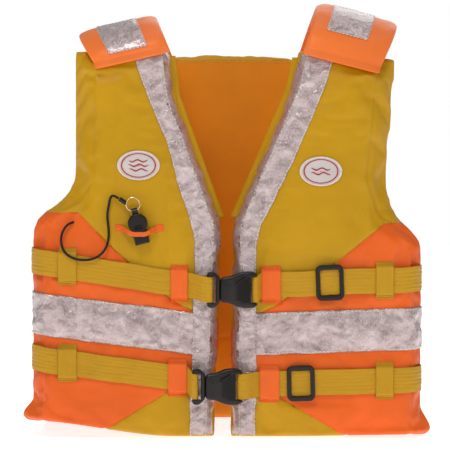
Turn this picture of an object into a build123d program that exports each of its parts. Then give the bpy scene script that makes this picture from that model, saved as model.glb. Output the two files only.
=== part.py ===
from build123d import *
from types import SimpleNamespace
import math
import os

os.makedirs("parts", exist_ok=True)

# Foam buoyancy vest, in millimetres. +Z is up, the chest faces -Y, and +X is the wearer's left.
# The vest stands on its hem, at z = 0.

# ---------------------------------------------------------------- driving dimensions
FRONT_Y = -108  # outer face of the front panels
FRONT_T = 36  # thickness of a front panel
BACK_Y = 124  # outer face of the back panel
BACK_T = 30
HEM_SPARE = 3  # the back panel is drawn this much too long, then cut off flat at z = 0
FABRIC = 1.2  # cover and lining
TAPE = 0.8  # reflective tape
TAPE_FACE = 30  # width of edge tape seen from the front
BAND_WIDTH = 50
WEB_WIDTH = 30
WEB_T = 1.6
WEB_GAP = 3.3  # from a panel's face to the belt, room for an adjuster's bar
KEEPER_T = 1.5
GUSSET_T = 3
SIDE_U = 232  # outer face of the side gussets, from the middle plane
SHOULDER_T = 12
FAR = 700  # beyond the vest on every side

# One side of the vest. sign is the side of the middle plane. Outline points are (u, z), with u measured
# outwards from the middle plane, on the rear face of the front panel.
RIGHT = SimpleNamespace(
    name="right",
    sign=-1,
    hem_in=(15, 0),
    apex=(6, 254),
    bend=(62, 408),
    neck=(68, 463),
    shoulder=(178, 440),
    armhole=(178, 306),
    elbow=(190, 283),
    underarm=(230, 263),
    seam_upper=[(0, 138), (44, 153), (65, 165), (118, 210), (140, 232), (175, 268)],
    seam_lower=[(0, 90), (47, 68), (73, 54), (144, 11), (160, 0)],
    band_z=(126, 149),
    upper_z=(183, 211),
    lower_z=(72, 96),
    shoulder_slope=13,
    shoulder_rise=46,
    shoulder_lean=22,
    patch=[(106, 508), (154, 496), (143, 458), (95, 472)],
    oval=(104, 324),
)
LEFT = SimpleNamespace(
    name="left",
    sign=1,
    hem_in=(5, 0),
    apex=(7, 254),
    bend=(76, 414),
    neck=(86, 461),
    shoulder=(199, 433),
    armhole=(187, 306),
    elbow=(196, 266),
    underarm=(232, 238),
    seam_upper=[(0, 126), (57, 158), (131, 210), (155, 230), (187, 256)],
    seam_lower=[(0, 87), (37, 65), (87, 35), (139, 4), (146, 0)],
    band_z=(125, 131),
    upper_z=(183, 190),
    lower_z=(66, 71),
    shoulder_slope=14.5,
    shoulder_rise=63,
    shoulder_lean=18,
    patch=[(133, 521), (180, 509), (168, 466), (123, 484)],
    oval=(111, 317),
)
SIDES = [RIGHT, LEFT]
LEVELS = ["upper", "lower"]

# The front face is smaller than the rear face: its edges roll over the foam.
ROLL_IN = 8  # along the neck and front edge
ROLL_ARM = 20  # along the armhole
ROLL_OUT = 4  # along the side

# Buckles. Local x runs from the tip of the male half's ears, along the way it is pushed in.
BUCKLE_LENGTH = 61
BUCKLE_T = 13
BUCKLE_BACK_Y = FRONT_Y - 7.5
BUCKLE_MID_Y = BUCKLE_BACK_Y - BUCKLE_T / 2
BUCKLE_X = {"upper": -23.5, "lower": -41}  # where local x = 0 lies
BUCKLE_Z = {"upper": 178, "lower": 64}
EAR_HALF = 22
BODY_HALF = 15.5
SLOT_HALF = WEB_WIDTH / 2 + 0.7
BAR_X = 4  # middle of the male strap bar
BAR_SIZE = 3.6
FEMALE_X = 16.2  # mouth of the female half
FEMALE_BAR_X = 56.5
ARM_T = 5
TONGUE_LENGTH = 22
LATCH_ROOT_X = 15.5
LATCH_ROOT_Z = 9.5

# Tri-glide adjusters.
GLIDE_WIDTH = 33
GLIDE_HEIGHT = 42
GLIDE_RIM = 4.5
GLIDE_X = {"upper": 121.5, "lower": 87.5}

# Whistle and its cord.
WHISTLE_X = -104
WHISTLE_Z = 253
WHISTLE_TILT = 14
WHISTLE_T = 12
WHISTLE_Y = FRONT_Y - 1.3 - WHISTLE_T / 2
RING_RADIUS = 8
RING_WIRE = 0.9
CORD_DIAMETER = 3
CORD_RUN_SHARE = 0.45

# Orange keepers sewn over the belts near the front edge, and yellow tabs near the side.
KEEPER_U = {
    "right": {"upper": (46, 66), "lower": (47, 69)},
    "left": {"upper": (41, 64), "lower": (39, 62)},
}
TAB_U = {"right": (177, 199), "left": (176, 197)}


# ---------------------------------------------------------------- helpers
def outline(points):
    """A flat polygon in the front view, from (x, z) points."""
    return make_face(Polyline(*points, close=True))


def on_side(side, points):
    """Turns (u, z) points into (x, z) points of one side."""
    return [(side.sign * u, z) for u, z in points]


def place(sketch, y):
    return (Plane.XZ.offset(-y) * sketch).face()


def slab(sketch, y_front, y_rear):
    return extrude(place(sketch, y_rear), amount=y_rear - y_front)


def tapered(front_sketch, rear_sketch, y_front, y_rear):
    """A solid between two outlines with the same number of corners."""
    rims = [place(front_sketch, y_front).outer_wire(), place(rear_sketch, y_rear).outer_wire()]
    return Solid.make_loft(rims, ruled=True)


def grown(sketch, amount):
    return offset(sketch, amount, kind=Kind.INTERSECTION)


def line_z(span, u, u_in=47, u_out=228):
    """Height of a sloping strip at u, from its heights at its inner and outer end."""
    share = (u - u_in) / (u_out - u_in)
    return span[0] + (span[1] - span[0]) * share


def strip(side, span, u_in, u_out, width):
    """Outline of a sloping strip across one front panel."""
    half = width / 2
    z_in = line_z(span, u_in)
    z_out = line_z(span, u_out)
    corners = [(u_in, z_in - half), (u_out, z_out - half), (u_out, z_out + half), (u_in, z_in + half)]
    return outline(on_side(side, corners))


def ribbon(points, thickness, z_low, z_high):
    """A band of the given thickness that follows (x, y) points in the plan view, between two heights."""
    path = Polyline(*points)
    face = trace(path, line_width=thickness)
    return extrude(Plane.XY.offset(z_low) * face, amount=z_high - z_low)


def save(shape, node):
    export_step(shape, f"parts/{node}.step")


def one(shape):
    """The single solid of a result that came back as a compound of one."""
    solids = shape.solids()
    return solids[0] if len(solids) == 1 else Compound(children=list(solids))


# ---------------------------------------------------------------- front panels
def panel_outlines(side):
    """Front and rear outline of a front panel."""
    rear = [side.hem_in, side.apex, side.bend, side.neck]
    rear += [side.shoulder, side.armhole, side.elbow, side.underarm, (SIDE_U, 0)]
    rolls = [ROLL_IN, ROLL_IN, ROLL_IN, ROLL_IN, -ROLL_ARM, -ROLL_ARM, -ROLL_ARM / 2, -ROLL_OUT, -ROLL_OUT]
    front = [(u + roll, z) for (u, z), roll in zip(rear, rolls)]
    return outline(on_side(side, front)), outline(on_side(side, rear))


def front_panel(side):
    front, rear = panel_outlines(side)
    rear_y = FRONT_Y + FRONT_T
    whole = tapered(front, rear, FRONT_Y, rear_y)
    foam = tapered(grown(front, -FABRIC), grown(rear, -FABRIC), FRONT_Y + FABRIC, rear_y - FABRIC)
    lining = whole & slab(Rectangle(FAR * 2, FAR * 2), rear_y - FABRIC, rear_y + FABRIC)
    shell = whole - foam - lining
    above = outline(on_side(side, side.seam_upper + [(FAR, side.seam_upper[-1][1]), (FAR, FAR), (0, FAR)]))
    below = outline(on_side(side, side.seam_lower + [(side.seam_lower[-1][0], -FAR), (0, -FAR)]))
    upper_cut = slab(above, -FAR, FAR)
    lower_cut = slab(below, -FAR, FAR)
    save(one(foam), f"front_foam_{side.name}")
    save(one(lining), f"front_lining_{side.name}")
    save(one(shell & upper_cut), f"cover_upper_{side.name}")
    save(one(shell & lower_cut), f"cover_lower_{side.name}")
    save(one(shell - upper_cut - lower_cut), f"cover_side_{side.name}")
    return whole


def front_tapes(side, whole):
    """Edge tape along neck and front edge, and the band across the panel."""
    front, rear = panel_outlines(side)
    rear_y = FRONT_Y + FRONT_T
    skin = tapered(grown(front, TAPE), grown(rear, TAPE), FRONT_Y - TAPE, rear_y - FABRIC) - whole
    inner = [side.hem_in, side.apex, side.bend, side.neck]
    widths = [TAPE_FACE, TAPE_FACE + 4, TAPE_FACE + 5, TAPE_FACE + 5]
    outer = [(u + width, z) for (u, z), width in zip(inner, widths)]
    edge = outline(on_side(side, [(-FAR, 1)] + [(outer[0][0], 1)] + outer[1:] + [(-FAR, side.neck[1] - 1)]))
    save(one(skin & slab(edge, -FAR, FAR)), f"edge_tape_{side.name}")
    band = strip(side, side.band_z, inner[0][0] + TAPE_FACE + 2, SIDE_U + 10, BAND_WIDTH)
    save(one((skin & slab(band, -FAR, FAR)) - slab(edge, -FAR, FAR)), f"band_front_{side.name}")
    patch = Pos(side.sign * side.oval[0], side.oval[1]) * Ellipse(25.5, 17.5)
    save(one(slab(patch, FRONT_Y - 1, FRONT_Y)), f"oval_patch_{side.name}")


# ---------------------------------------------------------------- belts
def belt_span(side, level):
    return side.upper_z if level == "upper" else side.lower_z


def webbing(side, level, u_in, u_out, gap=WEB_GAP, thickness=WEB_T, width=WEB_WIDTH):
    strip_outline = strip(side, belt_span(side, level), u_in, u_out, width)
    return slab(strip_outline, FRONT_Y - gap - thickness, FRONT_Y - gap)


def strap_on_bar(bar_x, run_x, z_mid):
    """Webbing from the belt's plane at run_x up to a strap bar at bar_x, and once round the bar."""
    belt_y = FRONT_Y - WEB_GAP - WEB_T / 2
    wrap_out = BAR_SIZE / 2 + 0.3 + WEB_T
    z_low = z_mid - WEB_WIDTH / 2
    wrap_in = wrap_out - WEB_T
    outside = RectangleRounded(2 * wrap_out, 2 * wrap_out, 2.4)
    inside = RectangleRounded(2 * wrap_in, 2 * wrap_in, 0.8)
    wrap = extrude(Pos(bar_x, BUCKLE_MID_Y, z_low) * (outside - inside), amount=WEB_WIDTH)
    toward = -1 if run_x < bar_x else 1
    start = (bar_x + toward * (wrap_out - WEB_T / 2), BUCKLE_MID_Y)
    rise = ribbon([start, (run_x - toward * 2, belt_y), (run_x, belt_y)], WEB_T, z_low, z_low + WEB_WIDTH)
    return one(wrap + rise)


def keeper(side, level, u_in, u_out):
    """A strip of tape sewn over the belt, above and below it."""
    gap = WEB_GAP + WEB_T + 0.4
    half = WEB_WIDTH / 2 + 2.2
    z_mid = line_z(belt_span(side, level), (u_in + u_out) / 2)
    rise = [(0, half + 6), (KEEPER_T, half + 6), (KEEPER_T, half + 3), (gap + KEEPER_T, half + 1)]
    under = [(0, half + 2), (gap, half)]
    upper = [(out, z_mid + z) for out, z in under[::-1] + rise]
    lower = [(out, z_mid - z) for out, z in rise[::-1] + under]
    profile = make_face(Polyline(*[(-out, z) for out, z in upper + lower], close=True))
    piece = extrude(Plane.YZ * profile, amount=u_out - u_in)
    x_start = side.sign * (u_in if side.sign > 0 else u_out)
    return Pos(x_start, FRONT_Y, 0) * piece


def front_belts(side):
    for level in LEVELS:
        keeper_in = KEEPER_U[side.name][level][0]
        if side is RIGHT:
            belt = webbing(side, level, keeper_in + 0.5, SIDE_U + 1)
        else:
            flat = webbing(side, level, keeper_in - 2, SIDE_U + 1)
            bar_x = BUCKLE_X[level] + FEMALE_BAR_X
            belt = flat + strap_on_bar(bar_x, keeper_in - 1, BUCKLE_Z[level])
        save(one(belt), f"belt_{level}_{side.name}")
    keepers = [keeper(side, level, *KEEPER_U[side.name][level]) for level in LEVELS]
    save(Compound(children=[one(piece) for piece in keepers]), f"belt_keepers_{side.name}")
    tabs = [keeper(side, level, *TAB_U[side.name]) for level in LEVELS]
    save(Compound(children=[one(piece) for piece in tabs]), f"belt_tabs_{side.name}")


def strap_ends():
    """The short webbing ends that hold the male buckle halves."""
    for level in LEVELS:
        run_x = 0.2 - KEEPER_U["right"][level][0]
        save(strap_on_bar(BUCKLE_X[level] + BAR_X, run_x, BUCKLE_Z[level]), f"strap_end_{level}")


# ---------------------------------------------------------------- buckles
def buckle_place(level, shape):
    return Pos(BUCKLE_X[level], BUCKLE_MID_Y, BUCKLE_Z[level]) * shape


def thick(sketch, thickness):
    """A plate about the buckle's middle plane, from an outline in the front view."""
    return extrude(place(sketch, thickness / 2), amount=thickness)


def male_body():
    neck = BODY_HALF - 2
    points = [(0, EAR_HALF - 5), (2, EAR_HALF), (8, EAR_HALF), (12, BODY_HALF + 1), (15.8, neck)]
    edge = points + [(x, -z) for x, z in reversed(points)]
    body = thick(outline(edge), BUCKLE_T - 3)
    body -= thick(Pos(BAR_X + BAR_SIZE / 2 + 2.1) * Rectangle(4.2, 2 * SLOT_HALF), FAR)
    bar_relief = thick(Pos(1) * Rectangle(2 * (BAR_X - BAR_SIZE / 2 - 1), 2 * SLOT_HALF), FAR)
    body -= bar_relief
    over_bar = Pos(BAR_X, 0) * Rectangle(BAR_SIZE + 0.2, 2 * SLOT_HALF)
    body -= thick(over_bar, BUCKLE_T) - thick(over_bar, BAR_SIZE)
    tongue = Pos(15 + TONGUE_LENGTH / 2, 0) * Rectangle(TONGUE_LENGTH, 6)
    return one(body + thick(tongue, ARM_T))


def latch_arm(sign):
    """A springy side arm, from its root to a hooked pad that fills the female half's side window."""
    inside = [(15.9, 7.5), (31, 9), (36.5, 7.6), (37.5, 9)]
    pad = [(33, 11.9), (31.6, 15.2), (22.4, 14.4), (21.4, 12), (15.9, 11.5)]
    points = inside + pad
    return one(thick(outline([(x, sign * z) for x, z in points]), ARM_T))


def female_body():
    points = [(FEMALE_X, BODY_HALF - 1.5), (20, BODY_HALF), (33, BODY_HALF + 0.5)]
    points += [(39, 20), (46, EAR_HALF - 1)]
    points += [(59, EAR_HALF - 1), (BUCKLE_LENGTH, EAR_HALF - 3), (59, SLOT_HALF)]
    edge = points + [(x, -z) for x, z in reversed(points)]
    body = thick(outline(edge), BUCKLE_T)
    front_edges = body.edges().group_by(Axis.Y)[0] + body.edges().group_by(Axis.Y)[-1]
    body = chamfer(front_edges, 1.2)
    body -= thick(Pos(FEMALE_X + 12) * Rectangle(26, 2 * 12.2), ARM_T + 1.2)
    for sign in (1, -1):
        window = Pos(27, sign * 15) * Rectangle(12, 12)
        body -= thick(window, ARM_T + 1.2)
    body -= thick(Pos(FEMALE_BAR_X - BAR_SIZE / 2 - 2.3) * Rectangle(4.6, 2 * SLOT_HALF), FAR)
    body -= thick(Pos(FEMALE_BAR_X + BAR_SIZE / 2 + 3) * Rectangle(6, 2 * SLOT_HALF), FAR)
    over_bar = Pos(FEMALE_BAR_X) * Rectangle(BAR_SIZE + 0.2, 2 * SLOT_HALF)
    body -= thick(over_bar, BUCKLE_T + 1) - thick(over_bar, BAR_SIZE)
    return one(body)


def buckles():
    for level in LEVELS:
        save(buckle_place(level, male_body()), f"buckle_male_{level}")
        save(buckle_place(level, latch_arm(1)), f"latch_arm_top_{level}")
        save(buckle_place(level, latch_arm(-1)), f"latch_arm_bottom_{level}")
        save(buckle_place(level, female_body()), f"buckle_female_{level}")


def adjusters():
    """Tri-glides: the belt passes behind the two outer bars and in front of the middle bar."""
    for level in LEVELS:
        span = belt_span(LEFT, level)
        slope = math.degrees(math.atan2(span[1] - span[0], 228 - 47))
        belt_y = -WEB_GAP - WEB_T
        front_y = belt_y - 0.3
        rear_y = -WEB_GAP + 0.4
        ring = RectangleRounded(GLIDE_WIDTH, GLIDE_HEIGHT, 5)
        opening = Rectangle(GLIDE_WIDTH - 2 * GLIDE_RIM, WEB_WIDTH + 1.6)
        frame = slab(ring - opening, front_y - 3, front_y)
        channel_height = (GLIDE_HEIGHT - WEB_WIDTH - 1.6) / 2
        rails = []
        for sign in (1, -1):
            z_mid = sign * (WEB_WIDTH + 1.6 + channel_height) / 2
            rail = Pos(0, z_mid) * Rectangle(GLIDE_WIDTH - 10, channel_height - 1)
            rails.append(slab(rail, front_y - 1, rear_y + 1.7))
        bar = slab(Rectangle(5, WEB_WIDTH + 4), rear_y, rear_y + 1.7)
        body = frame + rails[0] + rails[1] + bar
        height = line_z(span, GLIDE_X[level])
        placed = Pos(GLIDE_X[level], FRONT_Y, height) * (Rot(0, -slope, 0) * body)
        save(one(placed), f"strap_adjuster_{level}")


# ---------------------------------------------------------------- back panel, gussets and shoulders
def back_edge(side, roll):
    """Side, arm cutout and shoulder of the back panel, from the hem up."""
    rim = [(SIDE_U - 1, -HEM_SPARE), side.underarm, side.elbow, side.armhole, side.shoulder]
    return on_side(side, [(u - roll, z) for u, z in rim])


def back_outline(roll):
    collar = [(-77, 463), (-40, 468), (40, 468), (94, 460)]
    return outline(back_edge(RIGHT, roll) + collar + back_edge(LEFT, roll)[::-1])


def above(height):
    """Everything above a height."""
    return slab(Pos(0, height + FAR) * Rectangle(2 * FAR, 2 * FAR), -FAR, FAR)


def back_panel():
    """The back slab is smaller on its outer face, where the cover rolls over the foam.

    Its hem is cut off flat, so that the vest stands on it.
    """
    inner_y = BACK_Y - BACK_T
    inner = back_outline(0)
    outer = back_outline(ROLL_OUT)
    whole = tapered(inner, outer, inner_y, BACK_Y) & above(0)
    foam = tapered(grown(inner, -FABRIC), grown(outer, -FABRIC), inner_y + FABRIC, BACK_Y - FABRIC)
    foam = foam & above(FABRIC)
    lining = whole & slab(Rectangle(FAR * 2, FAR * 2), inner_y - FABRIC, inner_y + FABRIC)
    shell = whole - foam - lining
    seam_z = 104
    lower = slab(Pos(0, seam_z / 2 - FAR / 2) * Rectangle(2 * FAR, seam_z + FAR), -FAR, FAR)
    save(one(foam), "back_foam")
    save(one(lining), "back_lining")
    save(one(shell - lower), "back_cover_upper")
    save(one(shell & lower), "back_cover_lower")


def back_strip(z_right, z_left, width, gap, thickness):
    half = width / 2
    u_end = SIDE_U + 1
    edge = [(-u_end, z_right - half), (u_end, z_left - half)]
    edge += [(u_end, z_left + half), (-u_end, z_right + half)]
    return slab(outline(edge), BACK_Y + gap, BACK_Y + gap + thickness)


def back_trim():
    u_end = SIDE_U
    z_right = line_z(RIGHT.band_z, u_end)
    z_left = line_z(LEFT.band_z, u_end)
    save(one(back_strip(z_right, z_left, BAND_WIDTH, 0, TAPE)), "band_back")
    for level in LEVELS:
        z_right = line_z(belt_span(RIGHT, level), u_end)
        z_left = line_z(belt_span(LEFT, level), u_end)
        save(one(back_strip(z_right, z_left, WEB_WIDTH, TAPE + 0.2, WEB_T)), f"belt_back_{level}")
    keepers = []
    for level in LEVELS:
        z_mid = (line_z(belt_span(RIGHT, level), u_end) + line_z(belt_span(LEFT, level), u_end)) / 2
        for x in (-110, 110):
            lean = (line_z(belt_span(LEFT, level), u_end) - z_mid) * x / u_end
            sketch = Pos(x, z_mid + lean) * Rectangle(20, WEB_WIDTH + 12)
            keepers.append(one(slab(sketch, BACK_Y + TAPE + 0.4 + WEB_T, BACK_Y + TAPE + 0.4 + WEB_T + 1)))
    save(Compound(children=keepers), "belt_keepers_back")


def gusset(side):
    """The fabric side wall under the arm, with the stretches of band and belts that pass over it."""
    y_front = FRONT_Y + FRONT_T + 0.3
    y_rear = BACK_Y - BACK_T - 0.3
    dip = 14
    top = side.underarm[1] - 2
    edge = [(y_front, 2), (y_rear, 2), (y_rear, top), ((y_front + y_rear) / 2, top - dip), (y_front, top)]
    wall = extrude(Plane.YZ * make_face(Polyline(*edge, close=True)), amount=GUSSET_T)
    x_start = SIDE_U - GUSSET_T if side.sign > 0 else -SIDE_U
    save(one(Pos(x_start, 0, 0) * wall), f"gusset_{side.name}")
    band_z = line_z(side.band_z, SIDE_U)
    band = side_strip(side, band_z, BAND_WIDTH, 0, TAPE, y_front, BACK_Y)
    save(one(band), f"band_side_{side.name}")
    belts = []
    y_from = FRONT_Y - WEB_GAP - WEB_T
    y_to = BACK_Y + TAPE + 0.2 + WEB_T
    for level in LEVELS:
        z_mid = line_z(belt_span(side, level), SIDE_U)
        belts.append(one(side_strip(side, z_mid, WEB_WIDTH, TAPE + 0.3, WEB_T, y_from, y_to)))
    save(Compound(children=belts), f"belt_sides_{side.name}")


def side_strip(side, z_mid, width, gap, thickness, y_from, y_to):
    piece = Box(thickness, y_to - y_from, width)
    return Pos(side.sign * (SIDE_U + gap + thickness / 2), (y_from + y_to) / 2, z_mid) * piece


def arch(side, shrink, widen):
    """A shoulder arch over the gap between the front panel's top and the back panel's top.

    Its profile lies in a plane that leans outwards, and runs down the slope of the shoulder.
    """
    half = (BACK_Y - FRONT_Y) / 2 - shrink
    rise = side.shoulder_rise - shrink
    y_mid = (BACK_Y + FRONT_Y) / 2
    crown = EllipticalCenterArc((y_mid, 0), half, rise, start_angle=0, arc_size=180)
    dome = make_face([crown, Line((y_mid - half, 0), (y_mid + half, 0))])
    if shrink > 0:
        dome = dome + Pos(y_mid, -shrink / 2) * Rectangle(2 * half, shrink)
    lean = math.radians(side.shoulder_lean)
    slope = math.radians(side.shoulder_slope)
    down_slope = Vector(side.sign * math.cos(slope), 0, -math.sin(slope))
    start = Vector(side.sign * (side.neck[0] + 2), 0, side.neck[1] + 2.6) - down_slope * widen
    plane = Plane(origin=start, x_dir=(0, 1, 0), z_dir=(math.cos(lean), 0, -side.sign * math.sin(lean)))
    width = (side.shoulder[0] - side.neck[0] - 6) / math.cos(slope) + 2 * widen
    return extrude((plane * dome).face(), amount=width, dir=down_slope)


def shoulder(side):
    outer = arch(side, 0, 0)
    cap = outer - arch(side, SHOULDER_T, 5)
    save(one(cap), f"shoulder_{side.name}")
    patch_cut = slab(outline(on_side(side, side.patch)), -FAR, 0)
    raised = arch(side, -TAPE, 0) - arch(side, 0, 5)
    save(one(raised & patch_cut), f"shoulder_patch_{side.name}")


# ---------------------------------------------------------------- whistle set
def whistle():
    body = Pos(0, 3) * Circle(11.5) + Pos(0, -10) * Rectangle(17, 24)
    shape = slab(body, -WHISTLE_T / 2, WHISTLE_T / 2)
    shape = fillet(shape.edges().group_by(Axis.Y)[0] + shape.edges().group_by(Axis.Y)[-1], 2)
    window = slab(Pos(0, -2) * Rectangle(9, 5), -WHISTLE_T, -1)
    windway = slab(Pos(0, -13) * Rectangle(9, 20), -3.4, -1.6)
    chamber = Pos(0, 0, 4) * Sphere(4.4)
    lug = Pos(0, 0, 17.2) * Rot(0, 90, 0) * Cylinder(4.2, 7)
    shape = shape + lug
    eye = Pos(0, 0, 18) * Rot(0, 90, 0) * Cylinder(2.1, 20)
    shape = shape - window - windway - chamber - eye
    placed = Pos(WHISTLE_X, WHISTLE_Y, WHISTLE_Z) * (Rot(0, -WHISTLE_TILT, 0) * shape)
    save(one(placed), "whistle")


def along_whistle(distance, aside=0):
    """A point (x, z) on the whistle's tilted long axis, aside to its right."""
    tilt = math.radians(WHISTLE_TILT)
    x = WHISTLE_X - distance * math.sin(tilt) + aside * math.cos(tilt)
    z = WHISTLE_Z + distance * math.cos(tilt) + aside * math.sin(tilt)
    return x, z


RING_AT = along_whistle(18 + RING_RADIUS)
CRIMP_END = (RING_AT[0] - RING_RADIUS - 0.3, RING_AT[1] + 1.5)
CRIMP_START = (CRIMP_END[0] - 7.5, CRIMP_END[1] + 5)


def split_ring():
    ring = Pos(RING_AT[0], WHISTLE_Y, RING_AT[1]) * Rot(90, 0, 0) * Torus(RING_RADIUS, RING_WIRE)
    save(one(ring), "split_ring")
    start = Vector(CRIMP_START[0], WHISTLE_Y, CRIMP_START[1])
    end = Vector(CRIMP_END[0], WHISTLE_Y, CRIMP_END[1])
    plane = Plane(origin=start, z_dir=end - start)
    save(one(extrude(plane * Circle(2.6), amount=(end - start).length)), "cord_crimp")


def keeper_band():
    """The elastic band over the whistle, sewn down at both ends."""
    rest_y = FRONT_Y - 0.7
    over_y = WHISTLE_Y - WHISTLE_T / 2 - 1.1
    points = [(-132, rest_y), (-124, rest_y), (-116, over_y), (-87, over_y), (-80, rest_y), (-74, rest_y)]
    save(one(ribbon(points, 1.2, 242.5, 251.5)), "whistle_band")


# Route of the whistle cord: out of the cover's seam, over the upper belt's edge and up to the crimp.
CORD_POINTS = [
    (-181, -108, 257),
    (-182.2, -110.9, 256.6),
    (-186, -112.3, 255.2),
    (-191, -113, 250.5),
    (-194.8, -113.8, 242),
    (-195, -115.5, 231),
    (-190.5, -117.2, 221),
    (-181, -117.4, 214.5),
    (-168, -117, 212),
    (-154, -117, 214.5),
    (-143.5, -115.5, 223),
    (-139, -113, 236),
    (-139, -111.8, 250),
    (-141, -111.8, 264),
    (-139, -112.8, 277),
    (-136.6, -114.3, 287.5),
    (CRIMP_START[0] - 6, WHISTLE_Y, CRIMP_START[1] + 4),
    (CRIMP_START[0] - 0.3, WHISTLE_Y, CRIMP_START[1] + 0.2),
]


def cord():
    """Straight runs joined by tangent arcs, each as large as its two runs allow."""
    points = [Vector(*point) for point in CORD_POINTS]
    radii = []
    for before, corner, after in zip(points, points[1:], points[2:]):
        shorter = min((corner - before).length, (after - corner).length)
        turn = (corner - before).get_angle(after - corner)
        radii.append(CORD_RUN_SHARE * shorter / math.tan(math.radians(turn / 2)))
    print("cord radii", [round(radius, 1) for radius in radii])
    path = FilletPolyline(*points, radius=radii)
    start = Plane(origin=points[0], z_dir=points[1] - points[0])
    tube = sweep(start * Circle(CORD_DIAMETER / 2), path=path)
    expected = path.length * math.pi * CORD_DIAMETER**2 / 4
    print("cord length", round(path.length, 1), "volume ratio", tube.volume / expected)
    save(one(tube), "whistle_cord")


for each_side in SIDES:
    panel = front_panel(each_side)
    front_tapes(each_side, panel)
    front_belts(each_side)
    gusset(each_side)
    shoulder(each_side)
strap_ends()
buckles()
adjusters()
back_panel()
back_trim()
whistle()
split_ring()
keeper_band()
cord()
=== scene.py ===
import math
from contextlib import contextmanager
from types import SimpleNamespace

import bmesh
import bpy
from mathutils import Matrix, Vector, noise
from mathutils.bvhtree import BVHTree


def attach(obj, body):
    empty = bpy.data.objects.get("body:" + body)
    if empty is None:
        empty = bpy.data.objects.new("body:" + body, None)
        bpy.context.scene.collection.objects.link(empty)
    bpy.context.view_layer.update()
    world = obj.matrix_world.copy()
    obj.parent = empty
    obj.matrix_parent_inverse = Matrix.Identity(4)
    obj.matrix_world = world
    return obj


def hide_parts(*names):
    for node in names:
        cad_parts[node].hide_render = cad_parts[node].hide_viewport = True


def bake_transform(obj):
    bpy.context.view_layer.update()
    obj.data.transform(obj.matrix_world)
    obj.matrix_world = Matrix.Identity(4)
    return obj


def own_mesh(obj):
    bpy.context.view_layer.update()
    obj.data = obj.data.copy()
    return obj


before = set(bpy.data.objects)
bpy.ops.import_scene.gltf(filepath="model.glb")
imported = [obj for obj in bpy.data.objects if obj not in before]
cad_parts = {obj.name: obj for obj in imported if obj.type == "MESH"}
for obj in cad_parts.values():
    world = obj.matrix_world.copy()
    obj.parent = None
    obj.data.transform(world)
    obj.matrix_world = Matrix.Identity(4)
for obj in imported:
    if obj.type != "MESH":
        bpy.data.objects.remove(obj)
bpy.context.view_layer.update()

# ---------------------------------------------------------------- sizes, in metres
MM = 0.001
FRONT_Y = -0.108  # outer face of the front panels
FRONT_T = 0.036
BACK_Y = 0.124  # outer face of the back panel
BACK_T = 0.030
SIDE_U = 0.232  # side of the vest, from the middle plane
TAPE_WRAP = 0.016  # edge tape folded round the edge
BAND_WIDTH = 0.050
WEB_WIDTH = 0.030
WEB_T = 0.0016
BELT_Y = FRONT_Y - 0.0041  # middle of the belts
CORNER_R = 0.028  # round corners of the vest, seen from above
SHOULDER_T = 0.012
VOXEL = 0.005

# One side of the vest, in millimetres and degrees. Points are (u, z), with u outwards from the middle plane.
# tape_out is the outer edge of the edge tape. The shoulder arch is rise high, leans outwards by lean, falls
# outwards by slope across its width, and starts cap_in outside the neck. patch_across and patch_angle say
# where the silver patch lies on it, as shares of its width and as arch_point's angle in radians.
# flat_spots are parts of the cover that stay flat behind the whistle or behind an adjuster and its travel,
# as (x, z, half width, half height) in metres.
RIGHT = SimpleNamespace(
    name="right",
    sign=-1,
    hem_in=(15, 0),
    apex=(6, 254),
    bend=(62, 408),
    neck=(68, 463),
    shoulder=(178, 440),
    armhole=(178, 306),
    elbow=(190, 283),
    underarm=(230, 263),
    seam_upper=[(0, 138), (44, 153), (65, 165), (118, 210), (140, 232), (175, 268)],
    seam_lower=[(0, 90), (47, 68), (73, 54), (144, 11), (160, 0)],
    band_z=(126, 149),
    upper_z=(183, 211),
    lower_z=(72, 96),
    slope=13,
    rise=46,
    lean=22,
    oval=(104, 324),
    hem_rise=19,
    cap_in=2,
    flat_spots=[(-0.101, 0.265, 0.034, 0.062)],
    tape_out=[(44, 0), (36.6, 236), (41, 254), (56.6, 300), (70, 350), (99, 421), (109, 452), (113, 464)],
    patch_across=(0.25, 0.75),
    patch_angle=(0.1, 1.3),
    seed=3.1,
)
LEFT = SimpleNamespace(
    name="left",
    sign=1,
    hem_in=(5, 0),
    apex=(7, 254),
    bend=(76, 414),
    neck=(86, 461),
    shoulder=(199, 433),
    armhole=(187, 306),
    elbow=(196, 266),
    underarm=(232, 238),
    seam_upper=[(0, 126), (57, 158), (131, 210), (155, 230), (187, 256)],
    seam_lower=[(0, 87), (37, 65), (87, 35), (139, 4), (146, 0)],
    band_z=(125, 131),
    upper_z=(183, 190),
    lower_z=(66, 71),
    slope=14.5,
    rise=63,
    lean=18,
    oval=(111, 317),
    hem_rise=2,
    cap_in=6,
    flat_spots=[(0.105, 0.068, 0.048, 0.032), (0.1215, 0.187, 0.05, 0.032)],
    tape_out=[(34, 0), (35.4, 236), (41, 254), (59, 290), (80, 333), (98, 375), (114.5, 414), (130, 462)],
    patch_across=(0.2, 0.7),
    patch_angle=(0.42, 1.3),
    seed=9.7,
)
SIDES = [RIGHT, LEFT]
LEVELS = ["upper", "lower"]
KEEPER_U = {"right": {"upper": (46, 66), "lower": (47, 69)}, "left": {"upper": (41, 64), "lower": (39, 62)}}
TAB_U = {"right": (177, 199), "left": (176, 197)}
BUCKLE_Z = {"upper": 0.178, "lower": 0.064}
BUCKLE_X = {"upper": -0.0235, "lower": -0.041}
BUCKLE_Y = FRONT_Y - 0.014
GLIDE_X = {"upper": 0.1215, "lower": 0.0875}
# Pairs of y values for the cloth at the sides and over the shoulders, handed to finish_blend.
SIDE_BEND = (0.09, 0.03)
SHOULDER_BEND = (0.03, -0.085)


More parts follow.
